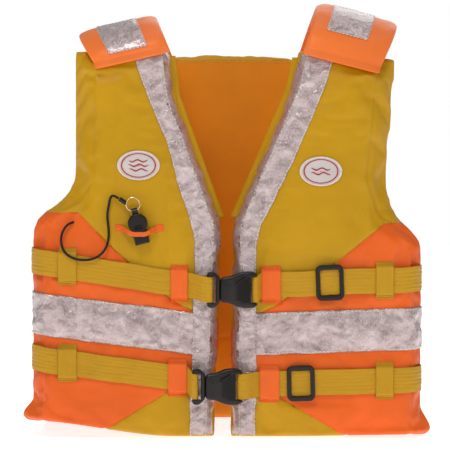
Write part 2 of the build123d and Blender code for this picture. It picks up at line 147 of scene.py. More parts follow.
# ---------------------------------------------------------------- materials
class Look:
    """A principled material: constants set on the shader itself, and patterns in object coordinates."""

    def __init__(
        self, name, colour, roughness, metallic=0.0, specular=0.5, sheen=0.0, coat=0.0, coat_roughness=0.1
    ):
        self.colour = colour
        self.material = bpy.data.materials.new(name)
        self.material.use_nodes = True
        self.nodes = self.material.node_tree.nodes
        self.links = self.material.node_tree.links
        self.surface = self.nodes["Principled BSDF"]
        constants = {
            "Base Color": (*colour, 1),
            "Roughness": roughness,
            "Metallic": metallic,
            "Specular IOR Level": specular,
            "Sheen Weight": sheen,
            "Coat Weight": coat,
            "Coat Roughness": coat_roughness,
        }
        for socket, value in constants.items():
            self.surface.inputs[socket].default_value = value

    def node(self, kind, inputs=None, **settings):
        """A new node. Sockets among the inputs are linked, and other values are set."""
        made = self.nodes.new(f"ShaderNode{kind}")
        for key, value in settings.items():
            setattr(made, key, value)
        for key, value in (inputs or {}).items():
            if isinstance(value, bpy.types.NodeSocket):
                self.links.new(value, made.inputs[key])
            else:
                made.inputs[key].default_value = value
        return made

    def where(self):
        return self.node("TexCoord").outputs["Object"]

    def noise(self, scale, detail=4, roughness=0.5, distortion=0.0):
        inputs = {"Vector": self.where(), "Scale": scale, "Detail": detail}
        inputs.update({"Roughness": roughness, "Distortion": distortion})
        return self.node("TexNoise", inputs).outputs["Fac"]

    def weave(self, pitch):
        """Two crossed sets of threads, a thread every pitch metres."""
        inputs = {"Vector": self.where(), "Scale": 0.314 / pitch, "Distortion": 0.4}
        across = self.node("TexWave", inputs, wave_type="BANDS", bands_direction="X").outputs["Fac"]
        along = self.node("TexWave", inputs, wave_type="BANDS", bands_direction="Z").outputs["Fac"]
        return self.node("Math", {0: across, 1: along}, operation="ADD").outputs["Value"]

    def vary_colour(self, factor, darker, lighter):
        """Lets a pattern shift the base colour between a darker and a lighter tone."""
        ramp = self.node("ValToRGB", {"Fac": factor})
        for element, position, share in zip(ramp.color_ramp.elements, (0.3, 0.7), (darker, lighter)):
            element.position = position
            element.color = (*[min(1, c * share) for c in self.colour], 1)
        self.links.new(ramp.outputs["Color"], self.surface.inputs["Base Color"])
        return ramp

    def vary_roughness(self, factor, low, high):
        spread = self.node("MapRange", {"Value": factor, "To Min": low, "To Max": high})
        self.links.new(spread.outputs["Result"], self.surface.inputs["Roughness"])

    def bump(self, height, strength, distance, under=None):
        inputs = {"Height": height, "Strength": strength, "Distance": distance}
        if under is not None:
            inputs["Normal"] = under.outputs["Normal"]
        made = self.node("Bump", inputs)
        self.links.new(made.outputs["Normal"], self.surface.inputs["Normal"])
        return made


def coated_nylon(name, colour, roughness=0.42):
    look = Look(name, colour, roughness, specular=0.2, coat=0.04, coat_roughness=0.3)
    look.vary_colour(look.noise(9, detail=5, roughness=0.6), 0.88, 1.08)
    creases = look.noise(38, detail=6, roughness=0.62, distortion=0.6)
    look.vary_roughness(creases, roughness - 0.1, roughness + 0.14)
    soft = look.bump(creases, 0.35, 0.0012)
    look.bump(look.weave(0.0007), 0.2, 0.0001, soft)
    return look.material


def reflective_film(name, colour):
    """Crinkled retro-reflective film: a bright embossed foil with creases in every direction."""
    look = Look(name, colour, 0.24, metallic=0.55, specular=0.8, coat=0.5, coat_roughness=0.12)
    cloudy = look.noise(45, detail=6, roughness=0.7, distortion=1.5)
    ramp = look.vary_colour(cloudy, 0.74, 1.3)
    ramp.color_ramp.elements[0].color = (colour[0] * 0.72, colour[1] * 0.64, colour[2] * 0.66, 1)
    look.vary_roughness(cloudy, 0.16, 0.42)
    soft = look.bump(look.noise(70, detail=5, roughness=0.65, distortion=2.0), 0.75, 0.0022)
    cells = look.node("TexVoronoi", {"Vector": look.where(), "Scale": 110}, feature="F1")
    look.bump(cells.outputs["Distance"], 0.35, 0.0006, soft)
    return look.material


def webbing(name, colour, pitch=0.0011):
    """Woven tape: ribs along it, and the darker gaps between its threads: painted shade in the gaps and a
    painted highlight on the threads, mixed with the tape's blotchy tone.
    """
    look = Look(name, colour, 0.5, specular=0.25, sheen=0.05)
    blotch = look.noise(30)
    threads = look.weave(pitch)
    # Painted shade between the threads and a painted highlight on them, mixed with the tape's random blotchy
    # tone.
    thread_shade_and_blotch = look.node("Math", {0: threads, 1: 0.35, 2: blotch}, operation="MULTIPLY_ADD")
    look.vary_colour(thread_shade_and_blotch.outputs["Value"], 0.78, 1.12)
    look.vary_roughness(blotch, 0.4, 0.62)
    look.bump(threads, 0.5, 0.0003)
    return look.material


def moulded_plastic(name, colour):
    look = Look(name, colour, 0.28, specular=0.32, coat=0.08, coat_roughness=0.2)
    wear = look.noise(60, detail=5, roughness=0.6)
    look.vary_colour(wear, 0.8, 1.35)
    look.vary_roughness(wear, 0.23, 0.44)
    look.bump(look.noise(900, detail=2), 0.12, 0.0001)
    return look.material


def polished_metal(name, colour):
    look = Look(name, colour, 0.16, metallic=1.0)
    wear = look.noise(300)
    look.vary_colour(wear, 0.8, 1.15)
    look.vary_roughness(wear, 0.1, 0.3)
    return look.material


def foam(name, colour):
    look = Look(name, colour, 0.8)
    cells = look.noise(600, detail=3)
    look.vary_colour(cells, 0.9, 1.05)
    look.bump(cells, 0.4, 0.0004)
    return look.material


YELLOW = coated_nylon("yellow_nylon", (0.55, 0.29, 0.003))
ORANGE = coated_nylon("orange_nylon", (0.80, 0.125, 0.012))
CAP_ORANGE = coated_nylon("cap_orange_nylon", (0.95, 0.20, 0.035), 0.38)
LINING = coated_nylon("amber_lining", (0.72, 0.25, 0.006), 0.45)
SILVER = reflective_film("silver_film", (0.52, 0.43, 0.42))
BELT_YELLOW = webbing("yellow_webbing", (0.50, 0.26, 0.006))
KEEPER_ORANGE = webbing("orange_webbing", (0.80, 0.13, 0.015))
BLACK = moulded_plastic("black_plastic", (0.009, 0.006, 0.005))
BRASS = polished_metal("pale_brass", (0.80, 0.60, 0.36))
CORD_BLACK = webbing("black_cord", (0.012, 0.007, 0.006), 0.0009)
FOAM = foam("white_foam", (0.85, 0.85, 0.82))
PATCH_WHITE = coated_nylon("patch_white", (0.62, 0.56, 0.54), 0.35)
RED_PRINT = coated_nylon("patch_red", (0.42, 0.03, 0.03), 0.4)
THREAD = webbing("pale_thread", (0.70, 0.62, 0.55), 0.0006)
THREAD_YELLOW = webbing("yellow_thread", (0.62, 0.36, 0.03), 0.0006)


# ---------------------------------------------------------------- general mesh helpers
def link(piece):
    bpy.context.scene.collection.objects.link(piece)
    return piece


def mesh_piece(name, vertices, faces, material):
    data = bpy.data.meshes.new(name)
    data.from_pydata([tuple(v) for v in vertices], [], faces)
    data.validate()
    data.materials.append(material)
    for polygon in data.polygons:
        polygon.use_smooth = True
    return link(bpy.data.objects.new(name, data))


@contextmanager
def mesh_work(data):
    """A bmesh of a mesh, written back at the end."""
    work = bmesh.new()
    work.from_mesh(data)
    yield work
    work.to_mesh(data)
    work.free()


def outward(piece):
    """Makes every face of a closed piece point outwards."""
    with mesh_work(piece.data) as work:
        bmesh.ops.recalc_face_normals(work, faces=work.faces)


def curve_mesh(name, curve):
    """The mesh that a curve makes."""
    helper = link(bpy.data.objects.new(name, curve))
    bpy.context.view_layer.update()
    made = bpy.data.meshes.new_from_object(helper.evaluated_get(bpy.context.evaluated_depsgraph_get()))
    bpy.data.objects.remove(helper)
    return made


def apply_modifiers(piece):
    """Replaces a piece's mesh by what its modifiers make of it."""
    bpy.context.view_layer.update()
    graph = bpy.context.evaluated_depsgraph_get()
    made = bpy.data.meshes.new_from_object(piece.evaluated_get(graph))
    materials = list(piece.data.materials)
    piece.modifiers.clear()
    piece.data = made
    if not made.materials:
        for material in materials:
            made.materials.append(material)
    for polygon in made.polygons:
        polygon.use_smooth = True


def push(piece, amount):
    """Moves every vertex along its normal by amount(place, normal)."""
    mesh = piece.data
    places = [v.co.copy() for v in mesh.vertices]
    normals = [v.normal.copy() for v in mesh.vertices]
    moved = []
    for place, normal in zip(places, normals):
        moved.extend(place + normal * amount(place, normal))
    mesh.vertices.foreach_set("co", moved)
    mesh.update()


def modify(piece, kind, **settings):
    modifier = piece.modifiers.new(kind.lower(), kind)
    for name, value in settings.items():
        setattr(modifier, name, value)
    return modifier


def finish_piece(piece, body, slot, *nodes):
    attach(piece, body)
    if nodes:
        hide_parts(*nodes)


def finish_blend(piece, side, slot, bend, *nodes):
    """Fabric between the back and a front panel: bakes its transform and hides the parts it replaces. side,
    slot and bend, the two y values, are not used.
    """
    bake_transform(piece)
    if nodes:
        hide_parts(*nodes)


def smooth_step(value, low, high):
    t = min(1, max(0, (value - low) / (high - low)))
    return t * t * (3 - 2 * t)


def resampled(points, count, sharp, near, rounds):
    """count tuples, evenly spaced by their first two values, on a closed curve through the given ones.

    The curve is rounded by averaging, except within near of the points whose index is in sharp.
    """
    size = len(points)
    lengths = [math.dist(points[i][:2], points[(i + 1) % size][:2]) for i in range(size)]
    total = sum(lengths)
    made = []
    for step in range(count):
        target = total * step / count
        i = 0
        while target > lengths[i]:
            target -= lengths[i]
            i += 1
        t = target / lengths[i]
        made.append(tuple(a + (b - a) * t for a, b in zip(points[i], points[(i + 1) % size])))
    held = [any(math.dist(p[:2], points[k][:2]) < near for k in sharp) for p in made]
    for _ in range(rounds):
        before = made[-1:] + made[:-1]
        after = made[1:] + made[:1]
        made = [
            p if fixed else tuple((x + 2 * y + z) / 4 for x, y, z in zip(a, p, b))
            for a, p, b, fixed in zip(before, made, after, held)
        ]
    return made


def grid_faces(rows, columns, close_rows=False, close_columns=False):
    faces = []
    for r in range(rows if close_rows else rows - 1):
        for c in range(columns if close_columns else columns - 1):
            r2 = (r + 1) % rows
            c2 = (c + 1) % columns
            faces.append((r * columns + c, r * columns + c2, r2 * columns + c2, r2 * columns + c))
    return faces


def closed_rings(name, rings, material):
    """A closed piece through rings of equally many points."""
    count = len(rings[0])
    vertices = [p for ring in rings for p in ring]
    faces = grid_faces(len(rings), count, close_columns=True)
    faces.append(tuple(range(count)))
    faces.append(tuple(range(len(vertices) - count, len(vertices))))
    piece = mesh_piece(name, vertices, faces, material)
    outward(piece)
    return piece


def thick_grid(name, rows, material, thickness, inward):
    """A closed strip of cloth: rows of outer points, and the same points moved inwards by the thickness.

    inward gives the inward direction at a point.
    """
    count = len(rows)
    columns = len(rows[0])
    outer = [p for row in rows for p in row]
    inner = [p + inward(p) * thickness for p in outer]
    faces = grid_faces(count, columns)
    shift = len(outer)
    faces += [tuple(reversed([i + shift for i in face])) for face in faces]
    rims = [(r * columns + c, (r + 1) * columns + c) for r in range(count - 1) for c in (0, columns - 1)]
    rims += [(r * columns + c, r * columns + c + 1) for c in range(columns - 1) for r in (0, count - 1)]
    faces += [(a, b, b + shift, a + shift) for a, b in rims]
    piece = mesh_piece(name, outer + inner, faces, material)
    outward(piece)
    return piece


def front_strip(name, rows, material, thickness):
    """A strip of cloth that faces the front."""
    return thick_grid(name, rows, material, thickness, lambda p: Vector((0, 1, 0)))


def film(name, rows, skin, thickness=0.0007):
    """Silver film whose outer face lies over a skin."""
    return thick_grid(name, rows, SILVER, thickness, lambda p: -skin.on(p, 0)[1])


class Skin:
    """The surface of a finished piece, to lay tapes and belts on."""

    def __init__(self, *pieces):
        vertices = []
        faces = []
        for piece in pieces:
            shift = len(vertices)
            vertices += [v.co.copy() for v in piece.data.vertices]
            faces += [tuple(i + shift for i in polygon.vertices) for polygon in piece.data.polygons]
        self.tree = BVHTree.FromPolygons(vertices, faces)

    def on(self, point, lift):
        """The nearest surface point to point, lifted off the surface, and the normal there."""
        place, normal, _, _ = self.tree.find_nearest(point)
        return place + normal * lift, normal

    def front(self, x, z, lift=0.0):
        """The front-most surface point at (x, z), lifted forwards."""
        place, _, _, _ = self.tree.ray_cast(Vector((x, -1, z)), Vector((0, 1, 0)))
        if place is None:
            return self.on(Vector((x, FRONT_Y, z)), lift)[0]
        return Vector((x, place.y - lift, z))


def noisy(point, scale, seed, stretch=(1, 1, 1)):
    where = Vector([p * k for p, k in zip(point, stretch)]) * scale
    return noise.noise(where + Vector((seed, seed * 2, 0)))


def crinkle(point, seed):
    """Height of the film's creases, in metres: long sharp ridges and small dents."""
    wide = 1 - abs(noisy(point, 55, seed)) * 2.2
    fine = 1 - abs(noisy(point, 150, seed + 5)) * 2.2
    return (wide * 0.75 + fine * 0.42) * MM


SPAN_U = (47, 228)  # where, in millimetres from the middle plane, a strip has its two given heights


def line_z(span, u):
    """Height in metres of a sloping strip, u millimetres from the middle plane."""
    share = (u - SPAN_U[0]) / (SPAN_U[1] - SPAN_U[0])
    return (span[0] + (span[1] - span[0]) * share) * MM


# ---------------------------------------------------------------- camera
CAMERA_DISTANCE = 2.4
SEEN_WIDTH = 0.531  # what the picture spans at the front panels


def add_camera():
    data = bpy.data.cameras.new("camera")
    camera = link(bpy.data.objects.new("camera", data))
    target = Vector((-0.002, FRONT_Y, 0.2537))
    height = math.radians(1.5)
    camera.location = target + Vector((0, -math.cos(height), math.sin(height))) * CAMERA_DISTANCE
    camera.rotation_euler = (math.radians(90) - height, 0, 0)
    data.sensor_width = 36
    data.lens = data.sensor_width * CAMERA_DISTANCE / SEEN_WIDTH
    data.clip_end = 20
    bpy.context.scene.camera = camera


# ---------------------------------------------------------------- whistle cord
CORD_DIAMETER = 0.003
CORD_POINTS = [
    (-181, -108, 257),
    (-182.2, -110.9, 256.6),
    (-186, -112.3, 255.2),
    (-191, -113, 250.5),
    (-194.8, -113.8, 242),
    (-195, -115.5, 231),
    (-190.5, -117.2, 221),
    (-181, -117.4, 214.5),
    (-168, -117, 212),
    (-154, -117, 214.5),
    (-143.5, -115.5, 223),
    (-139, -113, 236),
    (-139, -111.8, 250),
    (-141, -111.8, 264),
    (-139, -112.8, 277),
    (-136.6, -114.3, 287.5),
    (-132.4, -115.3, 288.7),
    (-126.7, -115.3, 284.9),
]


def smooth_route(points):
    """The line of a NURBS spline with these control points."""
    curve = bpy.data.curves.new("route", "CURVE")
    curve.dimensions = "3D"
    spline = curve.splines.new("NURBS")
    spline.points.add(len(points) - 1)
    for point, here in zip(spline.points, points):
        point.co = (here[0] * MM, here[1] * MM, here[2] * MM, 1)
    spline.order_u = 3
    spline.use_endpoint_u = True
    spline.resolution_u = 8
    return [v.co.copy() for v in curve_mesh("route", curve).vertices]


def tube(name, route, radius, material, sides=14, swell=None):
    """A closed round tube along a route. swell gives a factor on its radius at each point's number."""
    rows = []
    across = None
    for i, here in enumerate(route):
        before = route[max(0, i - 1)]
        after = route[min(len(route) - 1, i + 1)]
        along = (after - before).normalized()
        if across is None:
            across = along.orthogonal()
        across = (across - along * across.dot(along)).normalized()
        aside = along.cross(across)
        size = radius * (swell(i) if swell else 1)
        turns = [2 * math.pi * k / sides for k in range(sides)]
        rows.append([here + (across * math.cos(t) + aside * math.sin(t)) * size for t in turns])
    return closed_rings(name, rows, material)


def add_cord():
    route = smooth_route(CORD_POINTS)
    length = sum((b - a).length for a, b in zip(route, route[1:]))
    cord = tube(
        "whistle_lanyard", route, CORD_DIAMETER / 2, CORD_BLACK, swell=lambda i: 0.96 + 0.04 * (i % 2)
    )
    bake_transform(cord)
    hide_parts("whistle_cord")
    tuple(c * MM for c in CORD_POINTS[0])


add_camera()
add_cord()


# ---------------------------------------------------------------- padded panels
def run_cloth(piece, pinned, cap, pressure, slack, frames=20):
    """Lets the cover swell and wrinkle between its seams. pinned(point) tells what the seams hold."""
    group = piece.vertex_groups.new(name="seams")
    held = [v.index for v in piece.data.vertices if pinned(v.co)]
    group.add(held, 1.0, "REPLACE")
    start = [v.co.copy() for v in piece.data.vertices]
    cloth = piece.modifiers.new("cloth", "CLOTH")
    settings = cloth.settings
    settings.quality = 4
    settings.mass = 0.15
    settings.tension_stiffness = 12
    settings.compression_stiffness = 12
    settings.bending_stiffness = 0.25
    settings.use_pressure = True
    settings.uniform_pressure_force = pressure
    settings.shrink_min = -slack
    settings.vertex_group_mass = "seams"
    settings.effector_weights.gravity = 0
    cloth.point_cache.frame_start = 1
    cloth.point_cache.frame_end = frames
    for number in range(1, frames + 1):
        bpy.context.scene.frame_set(number)
    graph = bpy.context.evaluated_depsgraph_get()
    moved = piece.evaluated_get(graph).to_mesh()
    ends = [v.co.copy() for v in moved.vertices]
    piece.evaluated_get(graph).to_mesh_clear()
    piece.modifiers.remove(cloth)
    for vertex, old, new in zip(piece.data.vertices, start, ends):
        shift = new - old
        if shift.length > cap:
            shift = shift.normalized() * cap
        vertex.co = old + shift
    bpy.context.scene.frame_set(1)


def block(name, rim, rings, material, voxel=VOXEL):
    """A padded slab. rim is a closed list of (x, z, roll_x, roll_z) in millimetres.

    rings gives (y, share of the roll) pairs.
    """
    rows = [
        [Vector(((x + roll_x * share) * MM, y, (z + roll_z * share) * MM)) for x, z, roll_x, roll_z in rim]
        for y, share in rings
    ]
    piece = closed_rings(name, rows, material)
    remesh = modify(piece, "REMESH", voxel_size=voxel)
    remesh.mode = "VOXEL"
    modify(piece, "SMOOTH", factor=0.5, iterations=5)
    apply_modifiers(piece)
    return piece


def rolled_rim(corners, sharp, count=260):
    """Resamples a rim of (x, z, roll_x, roll_z) corners evenly and rounds it, except at its sharp corners."""
    return resampled(corners, count, sharp, near=5, rounds=16)


ROLL_IN = 8
ROLL_ARM = 20
ROLL_SIDE = 13
ROLL_END = 3  # at the hem and at the top


def front_rim(side):
    s = side.sign
    corners = [
        (side.hem_in, ROLL_IN, ROLL_END),
        (side.apex, ROLL_IN, 0),
        (side.bend, ROLL_IN, 0),
        (side.neck, ROLL_IN, -ROLL_END),
        ((side.shoulder[0], side.shoulder[1] + 17), -ROLL_ARM, -20),
        (side.armhole, -ROLL_ARM, 0),
        (side.elbow, -ROLL_ARM * 0.7, -4),
        (side.underarm, -ROLL_SIDE * 0.8, -ROLL_END),
        ((SIDE_U / MM, 0), -ROLL_SIDE, ROLL_END),
    ]
    return rolled_rim([(s * u, z, s * roll, lift) for (u, z), roll, lift in corners], sharp=(0, 3, 4, 8))


def outer_crease(side):
    """Where the front face meets the panel's outer wall, as (x, z) points in metres from shoulder to hem."""
    wall = [(side.shoulder, ROLL_ARM), (side.armhole, ROLL_ARM), (side.elbow, ROLL_ARM * 0.7)]
    wall += [(side.underarm, ROLL_SIDE * 0.8), ((SIDE_U / MM, 0), ROLL_SIDE)]
    return [(side.sign * (u - roll) * MM, z * MM) for (u, z), roll in wall]


FLAT_BEHIND = 0.0006  # a flat spot lies this far behind the front plane
FLAT_RIM = 0.008  # width of the soft rim inside a flat spot


def pressed(side, place):
    """A point of the front cover, kept flat behind the whistle or behind the adjusters' travel."""
    near = 0
    for x, z, half_x, half_z in side.flat_spots:
        across = smooth_step(half_x - abs(place.x - x), 0, FLAT_RIM)
        near = max(near, across * smooth_step(half_z - abs(place.z - z), 0, FLAT_RIM))
    bulge = min(0, place.y - FRONT_Y - FLAT_BEHIND)
    return place - Vector((0, bulge * near, 0))


def hem_moved(side, place):
    """A point of the front or side cover, with the hem's outer end lifted and its corner pulled outwards."""
    u = place.x * side.sign / MM
    z = place.z / MM
    to_front = smooth_step(-place.y, -0.09, 0.07)
    rise = side.hem_rise * smooth_step(u, 60, 240) * smooth_step(75 - z, 0, 75) * to_front
    near = smooth_step(z, -12, 7) if z < 7 else smooth_step(38 - z, 0, 31)
    flare = 12 * near * smooth_step(u, 208, 232) * smooth_step(-place.y, 0.02, 0.07)
    return place + Vector((side.sign * flare, 0, rise)) * MM


def back_rim():
    corners = [(-SIDE_U / MM + 1, 0, 10, 2)]
    corners += [(-u, z, 8, -2) for u, z in (RIGHT.underarm, RIGHT.elbow, RIGHT.armhole, RIGHT.shoulder)]
    corners += [(-77, 463, 0, -3), (-40, 468, 0, -5), (40, 468, 0, -5), (94, 460, 0, -3)]
    corners += [(u, z, -8, -2) for u, z in (LEFT.shoulder, LEFT.armhole, LEFT.elbow, LEFT.underarm)]
    corners += [(SIDE_U / MM - 1, 0, -10, 2)]
    return rolled_rim(corners, sharp=(0, 4, 9, 13), count=380)


def u_at(points, z):
    """u at a height on a line of (u, z) points with rising z. Above the line's end u stays the same."""
    for (u0, z0), (u1, z1) in zip(points, points[1:]):
        if z <= z1:
            return u0 + (u1 - u0) * (z - z0) / (z1 - z0)
    return points[-1][0]


def outline_u(side, z):
    """How far the panel's neck and front edge is from the middle plane at a height, both in millimetres."""
    return u_at([side.hem_in, side.apex, side.bend, side.neck], z)


def tape_width(side, z):
    """Width of the edge tape on the face at a height, in millimetres."""
    return u_at(side.tape_out, z) - outline_u(side, z)


def on_front_seam(side, point):
    """Whether a point on the front cover is held by a seam: along the tapes, the keepers and the rim."""
    u = point.x * side.sign / MM
    z = point.z / MM
    if point.y > FRONT_Y + 0.014:
        return point.z < 0.006 or point.y > FRONT_Y + FRONT_T - 0.006
    edge = outline_u(side, z)
    if abs(u - edge - tape_width(side, z)) < 2.6 or u < edge + 9:
        return True
    band = line_z(side.band_z, u) / MM
    if u < 226 and (abs(z - band - 25) < 2.6 or abs(z - band + 25) < 2.6):
        return True
    return z < 6 or z > side.shoulder[1] - 2


def front_folds(side, point):
    """Depth of the soft folds of a front cover, in metres."""
    u = abs(point.x) / MM
    z = point.z / MM
    seed = side.seed
    low = smooth_step(110 - z, 0, 60) * smooth_step(u, 60, 120)
    high = smooth_step(z, 360, 430)
    arm = smooth_step(u, 120, 170) * smooth_step(z, 200, 250) * smooth_step(330 - z, 0, 60)
    drape = noisy(point, 14, seed) * 1.1
    drape += noisy(point, 30, seed + 1, (1, 1, 0.3)) * 2.2 * low
    drape += noisy(point, 30, seed + 2, (0.35, 1, 1)) * 1.6 * high
    slant = Vector((point.x + point.z * 0.9 * side.sign, 0, (point.z - point.x * 0.9 * side.sign) * 0.25))
    drape += noisy(slant, 34, seed + 3) * 3.2 * arm
    drape += noisy(point, 75, seed + 4, (0.6, 1, 1)) * 0.45
    return drape * MM


def refine(piece, folds, facing):
    """One subdivision, then the folds, on the side that faces the given way (-1 front, 1 back)."""
    modify(piece, "SUBSURF", levels=1, render_levels=1)
    apply_modifiers(piece)
    push(piece, lambda place, normal: folds(place) * smooth_step(normal.y * facing, 0.2, 0.8))


def groove(piece, lines, depth, width):
    """Presses a seam into a piece along polylines of (x, z) points, in metres."""

    def sink(place, normal):
        gap = min(gap_to_line((place.x, place.z), line) for line in lines)
        return -depth * math.exp(-((gap / width) ** 2)) if gap < 3 * width else 0

    push(piece, sink)


def gap_to_line(here, line):
    best = 1.0
    for a, b in zip(line, line[1:]):
        run = (b[0] - a[0], b[1] - a[1])
        t = ((here[0] - a[0]) * run[0] + (here[1] - a[1]) * run[1]) / (run[0] ** 2 + run[1] ** 2)
        t = min(1, max(0, t))
        best = min(best, math.dist(here, (a[0] + run[0] * t, a[1] + run[1] * t)))
    return best


def height_on_line(line, u):
    """Height of a seam at u. line holds (u, z) points with rising u.

    Before the first point the seam is level, and after the last there is none.
    """
    if u <= line[0][0]:
        return line[0][1]
    for (u0, z0), (u1, z1) in zip(line, line[1:]):
        if u <= u1:
            return z0 + (z1 - z0) * (u - u0) / (u1 - u0)
    return None


def cut_along(piece, planes):
    """Adds edges where planes, as (point, normal) pairs, cross the piece."""
    with mesh_work(piece.data) as work:
        for point, normal in planes:
            everything = work.verts[:] + work.edges[:] + work.faces[:]
            bmesh.ops.bisect_plane(work, geom=everything, plane_co=point, plane_no=normal, dist=0.0002)
        bmesh.ops.dissolve_degenerate(work, dist=0.0001, edges=work.edges[:])


def seam_planes(side, line):
    """The planes through a seam's runs, each holding the depth direction."""
    planes = []
    for (u0, z0), (u1, z1) in zip(line, line[1:]):
        run = Vector(((u1 - u0) * side.sign, 0, z1 - z0)).normalized()
        planes.append((Vector((u0 * side.sign, 0, z0)) * MM, Vector((-run.z, 0, run.x))))
    return planes


CLOTH_T = 0.0008
FOAM_DEPTH = 0.003  # the foam lies this far under the cover


def part_of(source, name, material, wanted):
    """A sewn piece of a cover: the faces of source whose centre is wanted, as cloth with a thickness."""
    work = bmesh.new()
    work.from_mesh(source.data)
    drop = [face for face in work.faces if not wanted(face.calc_center_median())]
    bmesh.ops.delete(work, geom=drop, context="FACES")
    data = bpy.data.meshes.new(name)
    work.to_mesh(data)
    work.free()
    data.materials.clear()
    data.materials.append(material)
    piece = link(bpy.data.objects.new(name, data))
    modify(piece, "SOLIDIFY", thickness=CLOTH_T, offset=-1)
    apply_modifiers(piece)
    return piece


def sew(whole, body, looks, region):
    """Makes a cover's sewn pieces.

    looks holds (region, material, slot, node), and region(point) says which region a point is in.
    """
    for kind, material, slot, node in looks:
        piece = part_of(whole, f"{node}_cloth", material, lambda c, k=kind: region(c) == k)
        finish_piece(piece, body, slot, node)


def foam_slab(source, name):
    """The foam inside a cover: the same shape, a little smaller."""
    data = source.data.copy()
    data.name = name
    data.materials.clear()
    data.materials.append(FOAM)
    piece = link(bpy.data.objects.new(name, data))
    push(piece, lambda place, normal: -FOAM_DEPTH)
    modify(piece, "DECIMATE", ratio=0.15)
    apply_modifiers(piece)
    return piece


def front_cover(side):
    """The padded front panel, cut into its sewn pieces. Returns the whole shape, to lay other pieces on."""
    rings = [(0, 1.12), (0.04, 0.98), (0.3, 0.65), (0.6, 0.25), (0.86, -0.16), (0.96, -0.2), (1, 0.1)]
    slack = 0.0028  # the flat cover swells forward by this much
    rings = [(FRONT_Y + slack + (FRONT_T - slack) * depth, share) for depth, share in rings]
    whole = block(f"panel_{side.name}", front_rim(side), rings, YELLOW)
    run_cloth(whole, lambda p: on_front_seam(side, p), cap=0.0042, pressure=3.0, slack=0.035)
    refine(whole, lambda p: front_folds(side, p), -1)
    for vertex in whole.data.vertices:
        vertex.co = hem_moved(side, pressed(side, vertex.co))
    s = side.sign
    seams = [[(s * u * MM, z * MM) for u, z in line] for line in (side.seam_upper, side.seam_lower)]
    groove(whole, seams, 0.0011, 0.0016)
    groove(whole, [outer_crease(side)], 0.0013, 0.0026)
    core = foam_slab(whole, f"front_foam_{side.name}_core")
    planes = seam_planes(side, side.seam_upper) + seam_planes(side, side.seam_lower)
    lining_y = FRONT_Y + FRONT_T - 0.0035
    planes.append((Vector((0, lining_y, 0)), Vector((0, 1, 0))))
    cut_along(whole, planes)

    def region(centre):
        if centre.y > lining_y:
            return "lining"
        u = centre.x * s / MM
        z = centre.z / MM
        upper = height_on_line(side.seam_upper, u)
        lower = height_on_line(side.seam_lower, u)
        if z > (side.seam_upper[-1][1] if upper is None else upper):
            return "upper"
        if lower is not None and z < lower:
            return "lower"
        return "side"

    looks = [
        ("upper", YELLOW, "fabric_yellow", f"cover_upper_{side.name}"),
        ("side", ORANGE, "fabric_orange", f"cover_side_{side.name}"),
        ("lower", YELLOW, "fabric_yellow", f"cover_lower_{side.name}"),
        ("lining", LINING, "lining_amber", f"front_lining_{side.name}"),
    ]
    sew(whole, f"front_{side.name}", looks, region)
    finish_piece(core, f"front_{side.name}", "foam_white", f"front_foam_{side.name}")
    return whole


def back_folds(point):
    drape = noisy(point, 12, 21.0) * 1.6 + noisy(point, 32, 24.0, (0.5, 1, 1)) * 0.9
    return drape * MM


BACK_SEAM_Z = 0.104
COLLAR_Z = 0.458  # the lining ends here, under the turned-over cover


def back_cover():
    rings = [(0, 0.3), (0.08, 0.0), (0.35, 0.05), (0.65, 0.3), (0.85, 0.65), (0.95, 0.9), (1, 1.2)]
    slack = 0.0025
    rings = [(BACK_Y - BACK_T + (BACK_T - slack) * depth, share) for depth, share in rings]
    whole = block("panel_back", back_rim(), rings, YELLOW, voxel=0.006)
    inner_y = BACK_Y - BACK_T + 0.0035

    def held(point):
        if point.z < 0.006 or point.y < inner_y:
            return True
        if point.y < BACK_Y - 0.014:
            return False
        z_band = 0.151 + (0.131 - 0.151) * (point.x + SIDE_U) / (2 * SIDE_U)
        return abs(abs(point.z - z_band) - 0.025) < 0.003

    run_cloth(whole, held, cap=0.004, pressure=3.0, slack=0.03)
    refine(whole, back_folds, 1)
    seam = [[(-1, BACK_SEAM_Z), (1, BACK_SEAM_Z)]]
    groove(whole, seam, 0.0011, 0.0016)
    core = foam_slab(whole, "back_foam_core")
    planes = [(Vector((0, inner_y, 0)), Vector((0, 1, 0)))]
    planes += [(Vector((0, 0, z)), Vector((0, 0, 1))) for z in (BACK_SEAM_Z, COLLAR_Z)]
    cut_along(whole, planes)

    def region(centre):
        if centre.y < inner_y and centre.z < COLLAR_Z:
            return "lining"
        return "upper" if centre.z > BACK_SEAM_Z else "lower"

    looks = [
        ("upper", YELLOW, "fabric_yellow", "back_cover_upper"),
        ("lower", ORANGE, "fabric_orange", "back_cover_lower"),
        ("lining", LINING, "lining_amber", "back_lining"),
    ]
    sew(whole, "back", looks, region)
    finish_piece(core, "back", "foam_white", "back_foam")
    return whole


# ---------------------------------------------------------------- gussets and shoulders
def gusset(side):
    """The fabric wall under the arm, a little bowed out and creased from top to bottom."""
    s = side.sign
    y_front = FRONT_Y + FRONT_T - 0.003
    y_rear = BACK_Y - BACK_T + 0.003
    rows = []
    for i in range(57):
        t = i / 56
        y = y_front + (y_rear - y_front) * t
        top = side.underarm[1] * MM - 0.014 - 0.007 * math.sin(math.pi * t)
        row = []
        for k in range(61):
            z = 0.001 + (top - 0.001) * k / 60
            here = Vector((s * SIDE_U, y, z))
            fold = noisy(here, 26, side.seed + 11, (1, 1, 0.3)) * 2.4 + noisy(here, 60, side.seed + 12) * 0.5
            bow = 0.0015 + 0.001 * math.sin(math.pi * t) + fold * MM * math.sin(math.pi * t)
            row.append(hem_moved(side, here + Vector((s * (bow - 0.0035), 0, 0))))
        rows.append(row)
    return thick_grid(f"gusset_{side.name}_cloth", rows, ORANGE, 0.002, lambda p: Vector((-s, 0, 0)))


